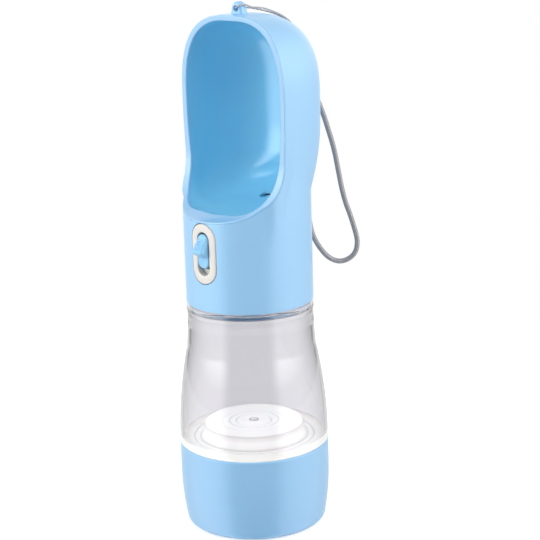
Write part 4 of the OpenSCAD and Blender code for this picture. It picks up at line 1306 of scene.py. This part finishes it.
def spring_steel_finish():
    """Drawn steel wire: bright grey metal with fine lines left by the die."""
    settings = {"Base Color": linear("#c3c5c8"), "Metallic": 1.0}
    material, tree, shader, place = finish("spring_steel_drawn", settings)
    gloss_moves(tree, shader, noise(tree, place, 0.15), 0.26, 0.4)
    return material


def braid_finish(name, one_way, other_way, gap_shade):
    """Grey polyester braid: tone by strand direction, painted shade between strands, and fine fibres across
    the strands.
    """
    settings = {"IOR": 1.5, "Sheen Weight": 0.25, "Sheen Roughness": 0.4, "Roughness": 0.45}
    material, tree, shader, place = finish(name, settings)
    height = node(tree, "Attribute", {"attribute_name": "braid_height"}).outputs["Fac"]
    side = node(tree, "Attribute", {"attribute_name": "braid_side"}).outputs["Fac"]
    fibres = noise(tree, place, 0.25, 3.0)
    strands = mixed(tree, one_way, other_way, side)
    flecked = mixed(tree, strands, fibres.outputs["Color"], 0.6, blend="SOFT_LIGHT")
    heights = {"From Min": 0.25, "From Max": 0.8, "To Min": 0.35, "To Max": 1.0}
    # Low places between the strands take the darker grey: painted shade.
    unshaded_share = node(tree, "MapRange", heights, Value=height)
    tree.links.new(mixed(tree, gap_shade, flecked, unshaded_share.outputs["Result"]), shader.inputs["Base Color"])
    surface_moves(tree, shader, fibres, 0.3, 0.0001)
    return material


silicone = silicone_finish()
spring_steel = spring_steel_finish()
# The third grey of each cord is painted shade between its strands.
braid = braid_finish("cord_polyester_braided", "#8f8c8e", "#c3c0c2", "#46464b")
string = braid_finish("string_polyester_twisted", "#b4b1b2", "#cfcccd", "#8c8a8c")

# %% [markdown]
# ### Who wears what
# The head's shell, its lug and the collar are one blue and the cup another; the trough is painted
# a deeper blue than the shell as shade of its bowl, with a paler, greyer rim.
# The inner works that keep the model's own solids are white. Light reaches the inside of the
# bottle straight through the clear wall, so the clear pieces throw no shadow.

# %% Put the finishes on
INNER_WORKS = ("slide_guide", "lock_slide", "plunger", "valve_housing", "valve_stem", "stem_clip")
give(shell_abs, head_shell, strap_lug, collar_thread, nodes["threaded_collar"])
give(cup_abs, food_cup, cup_thread)
give(trough_shaded_abs, trough_liner, spigot)
give(button_abs, push_button)
give(bezel_pom, bezel)
give(inner_pom, *[nodes[name] for name in INNER_WORKS])
give(floor_white, bottle_floor, skirt_thread)
give(clear, bottle_body, neck_thread)
bottle_body.visible_shadow = False
neck_thread.visible_shadow = False
give(silicone, cup_gasket, neck_seal, valve_seal, nodes["outlet_duct"])
give(spring_steel, button_spring, valve_spring)
give(braid, strap_loop)
give(string, strap_string)
give(ferrule_plastic, ferrule)
print(len(bpy.data.materials), "materials")

# %% [markdown]
# ## Studio
# The photograph is a catalogue picture on white, taken between two tall soft boxes. Round glossy
# parts mirror them as soft upright bands near both edges, and the clear bottle shows them as two
# long streaks. Rectangular lamps would mirror with hard corners, so the lamps here only carry
# light onto things, and the room shows the soft boxes with blurred edges to mirrors. The room is
# written down by two level directions: towards the camera, and to its right.

# %% Directions and sums
VIEW_BACK = (math.sin(VIEW_TURN), -math.cos(VIEW_TURN), 0)
VIEW_SIDE = (math.cos(VIEW_TURN), math.sin(VIEW_TURN), 0)
UP = (0, 0, 1)


def arithmetic(tree, operation, *values):
    """The result of one Math node; values are numbers or the outputs of other nodes."""
    made = node(tree, "Math", {"operation": operation})
    for place, value in enumerate(values):
        if isinstance(value, (int, float)):
            made.inputs[place].default_value = value
        else:
            tree.links.new(value, made.inputs[place])
    return made.outputs["Value"]


def along(tree, direction, axis):
    """How far a direction or a place reaches along an axis."""
    product = node(tree, "VectorMath", {"operation": "DOT_PRODUCT"}, _0=direction)
    product.inputs[1].default_value = axis
    return product.outputs["Value"]


def ramp(tree, value, ends, levels, kind="SMOOTHSTEP"):
    """A step from one level to another while the value goes from one end to the other."""
    settings = {"interpolation_type": kind, "From Min": ends[0], "From Max": ends[1],
                "To Min": levels[0], "To Max": levels[1]}
    return node(tree, "MapRange", settings, Value=value).outputs["Result"]


def swapped(tree, share, new, old):
    """The old value, which gives way to the new one where the share is 1."""
    return arithmetic(tree, "MULTIPLY_ADD", share, arithmetic(tree, "SUBTRACT", new, old), old)



# %% [markdown]
# ### Table
# The bottle stands on a round pale table. For the camera it glows, more and more towards its edge,
# until it meets the white of the room. Through the clear bottle the camera looks at the table, so there
# it is a little brighter in the middle, as the lit backdrop of the photograph is.

# %% Table
TABLE_R, TABLE_CORNERS, TABLE_Z = 0.42, 128, -0.0002
TABLE_THROUGH = 0.23                # what the bright backdrop adds to the table seen through the bottle
TABLE_FADE, TABLE_GLOW = (0.1, 0.26), (0.62, 1.0)
STRAIGHT_BEHIND = (0.05, 0.14)      # how far aside of the bottle's middle this added light fades out
table_mesh = bpy.data.meshes.new("studio_table")
table_angle = round_angles(TABLE_CORNERS)
table_rim = joined(TABLE_R * np.cos(table_angle), TABLE_R * np.sin(table_angle), TABLE_Z)
table_mesh.from_pydata(table_rim.tolist(), [], [list(range(TABLE_CORNERS))])
studio_table = bpy.data.objects.new("studio_table", table_mesh)
bpy.context.scene.collection.objects.link(studio_table)
studio_table.visible_glossy = False  # level walls mirror the soft boxes below the table's edge
settings = {"Roughness": 0.8, "Specular IOR Level": 0.1, "Emission Color": (1, 1, 1, 1)}
table_paint, table_tree, table_shader, table_place = finish("studio_table_paint", settings)
tone = mixed(table_tree, "#dadada", "#d6d6d6", noise(table_tree, table_place, 40).outputs["Fac"])
table_tree.links.new(tone, table_shader.inputs["Base Color"])
far_out = node(table_tree, "VectorMath", {"operation": "LENGTH"}, _0=table_place).outputs["Value"]
fade = ramp(table_tree, far_out, TABLE_FADE, TABLE_GLOW, "LINEAR")
aside = arithmetic(table_tree, "ABSOLUTE", along(table_tree, table_place, VIEW_SIDE))
straight = ramp(table_tree, aside, STRAIGHT_BEHIND, (1.0, 0.0), "LINEAR")
table_rays = node(table_tree, "LightPath").outputs
seen_through = arithmetic(table_tree, "MULTIPLY", table_rays["Is Transmission Ray"], straight)
through = arithmetic(table_tree, "MULTIPLY", seen_through, TABLE_THROUGH)
glow = arithmetic(table_tree, "MULTIPLY_ADD", fade, table_rays["Is Camera Ray"], through)
table_tree.links.new(glow, table_shader.inputs["Emission Strength"])
give(table_paint, studio_table)

# %% [markdown]
# ### Room
# The room is plain white to the camera and an even grey to dull surfaces. To mirrors it holds the
# two soft boxes, written down by the angle round from the camera's side and by the height. To rays
# that leave the clear bottle it is grey behind the bottle, and stronger where they light a dull
# surface through the clear wall.

# %% Room
FILL = 0.42                         # light from all round onto things
BEHIND_CLEAR = 0.8                  # grey of the room behind, as seen through the clear bottle
FILL_THROUGH = 2.85                 # strength of the room for light that comes in through the clear wall
LEFT_TO_RIGHT = (-0.3, 0.3)         # radians over which left-hand values give way to right-hand ones
RIGHT_NEARER = math.radians(7)      # the right soft box starts nearer the camera
BOX_STARTS, BOX_ENDS = np.radians((34, 58)), np.radians((72, 140))
BOX_REST, BETWEEN_BOXES = 0.25, 0.25        # what is left of a box behind, and the room between them
BOX_POWERS = (5.9, 5.3)             # the left box and the right one
BOX_LOW, BOX_HIGH = (-0.09, 0.05), (0.3, 0.65)
BEHIND, BESIDE = np.radians((146, 166)), 0.1
world = bpy.data.worlds.new("studio_white")
bpy.context.scene.world = world
world.use_nodes = True
sky = world.node_tree
direction = node(sky, "TexCoord").outputs["Generated"]
turned = arithmetic(sky, "ARCTAN2", along(sky, direction, VIEW_SIDE), along(sky, direction, VIEW_BACK))
round_by = arithmetic(sky, "ABSOLUTE", turned)
height = along(sky, direction, UP)
nearer = ramp(sky, turned, LEFT_TO_RIGHT, (0.0, RIGHT_NEARER))
box_start = ramp(sky, arithmetic(sky, "ADD", round_by, nearer), BOX_STARTS, (0.0, 1.0))
box_end = ramp(sky, round_by, BOX_ENDS, (1.0, BOX_REST))
box_foot = ramp(sky, height, BOX_LOW, (0.56, 1.0))
box_head = ramp(sky, height, BOX_HIGH, (1.0, 0.7))
box_level = arithmetic(sky, "MULTIPLY", box_foot, box_head)
soft_boxes = arithmetic(sky, "MULTIPLY", arithmetic(sky, "MULTIPLY", box_start, box_end), box_level)
box_power = ramp(sky, turned, LEFT_TO_RIGHT, BOX_POWERS)
mirrored = arithmetic(sky, "MULTIPLY_ADD", soft_boxes, box_power, BETWEEN_BOXES)
behind = ramp(sky, round_by, BEHIND, (BESIDE, BEHIND_CLEAR))
rays = node(sky, "LightPath").outputs
lit_through = arithmetic(sky, "GREATER_THAN", rays["Diffuse Depth"], 0.5)
level = swapped(sky, rays["Is Glossy Ray"], mirrored, FILL)
level = swapped(sky, rays["Is Transmission Ray"], swapped(sky, lit_through, FILL_THROUGH, behind), level)
level = arithmetic(sky, "MAXIMUM", level, rays["Is Camera Ray"])
background = sky.nodes["Background"]
background.inputs["Color"].default_value = (1, 1, 1, 1)
sky.links.new(level, background.inputs["Strength"])
print("room:", len(sky.nodes), "nodes")

# %% [markdown]
# ### Lamps
# Three rectangular lamps carry the light: one at each side, of which the left is stronger, and one
# above.

# %% Lamps
LAMP_AIM = 0.14                     # height that the lamps are aimed at


def soft_box(name, turn_degrees, rise_degrees, distance, width, height, radiance):
    """A rectangular lamp round the bottle, aimed at its middle. Turn 0 is the camera's own side."""
    a = VIEW_TURN + math.radians(turn_degrees)
    e = math.radians(rise_degrees)
    lamp_data = bpy.data.lights.new(name, "AREA")
    lamp_data.shape = "RECTANGLE"
    lamp_data.size = width
    lamp_data.size_y = height
    lamp_data.energy = radiance * math.pi * width * height
    lamp = bpy.data.objects.new(name, lamp_data)
    bpy.context.scene.collection.objects.link(lamp)
    lamp.visible_glossy = False
    lamp.visible_transmission = False
    away = np.array([math.sin(a) * math.cos(e), -math.cos(a) * math.cos(e), math.sin(e)])
    side = np.array([math.cos(a), math.sin(a), 0])
    placed_at = np.eye(4)
    placed_at[:3, :3] = np.stack([side, np.cross(away, side), away], axis=1)
    placed_at[:3, 3] = away * distance + [0, 0, LAMP_AIM]
    lamp.matrix_world = Matrix(placed_at.tolist())


soft_box("soft_box_left", -62, 12, 1.0, 0.5, 1.5, 2.6)
soft_box("soft_box_right", 66, 12, 1.0, 0.8, 1.5, 1.55)
soft_box("soft_box_top", 0, 68, 1.2, 0.8, 0.8, 1.4)
bpy.context.scene.view_settings.view_transform = "Standard"
print(len(bpy.data.lights), "lamps")
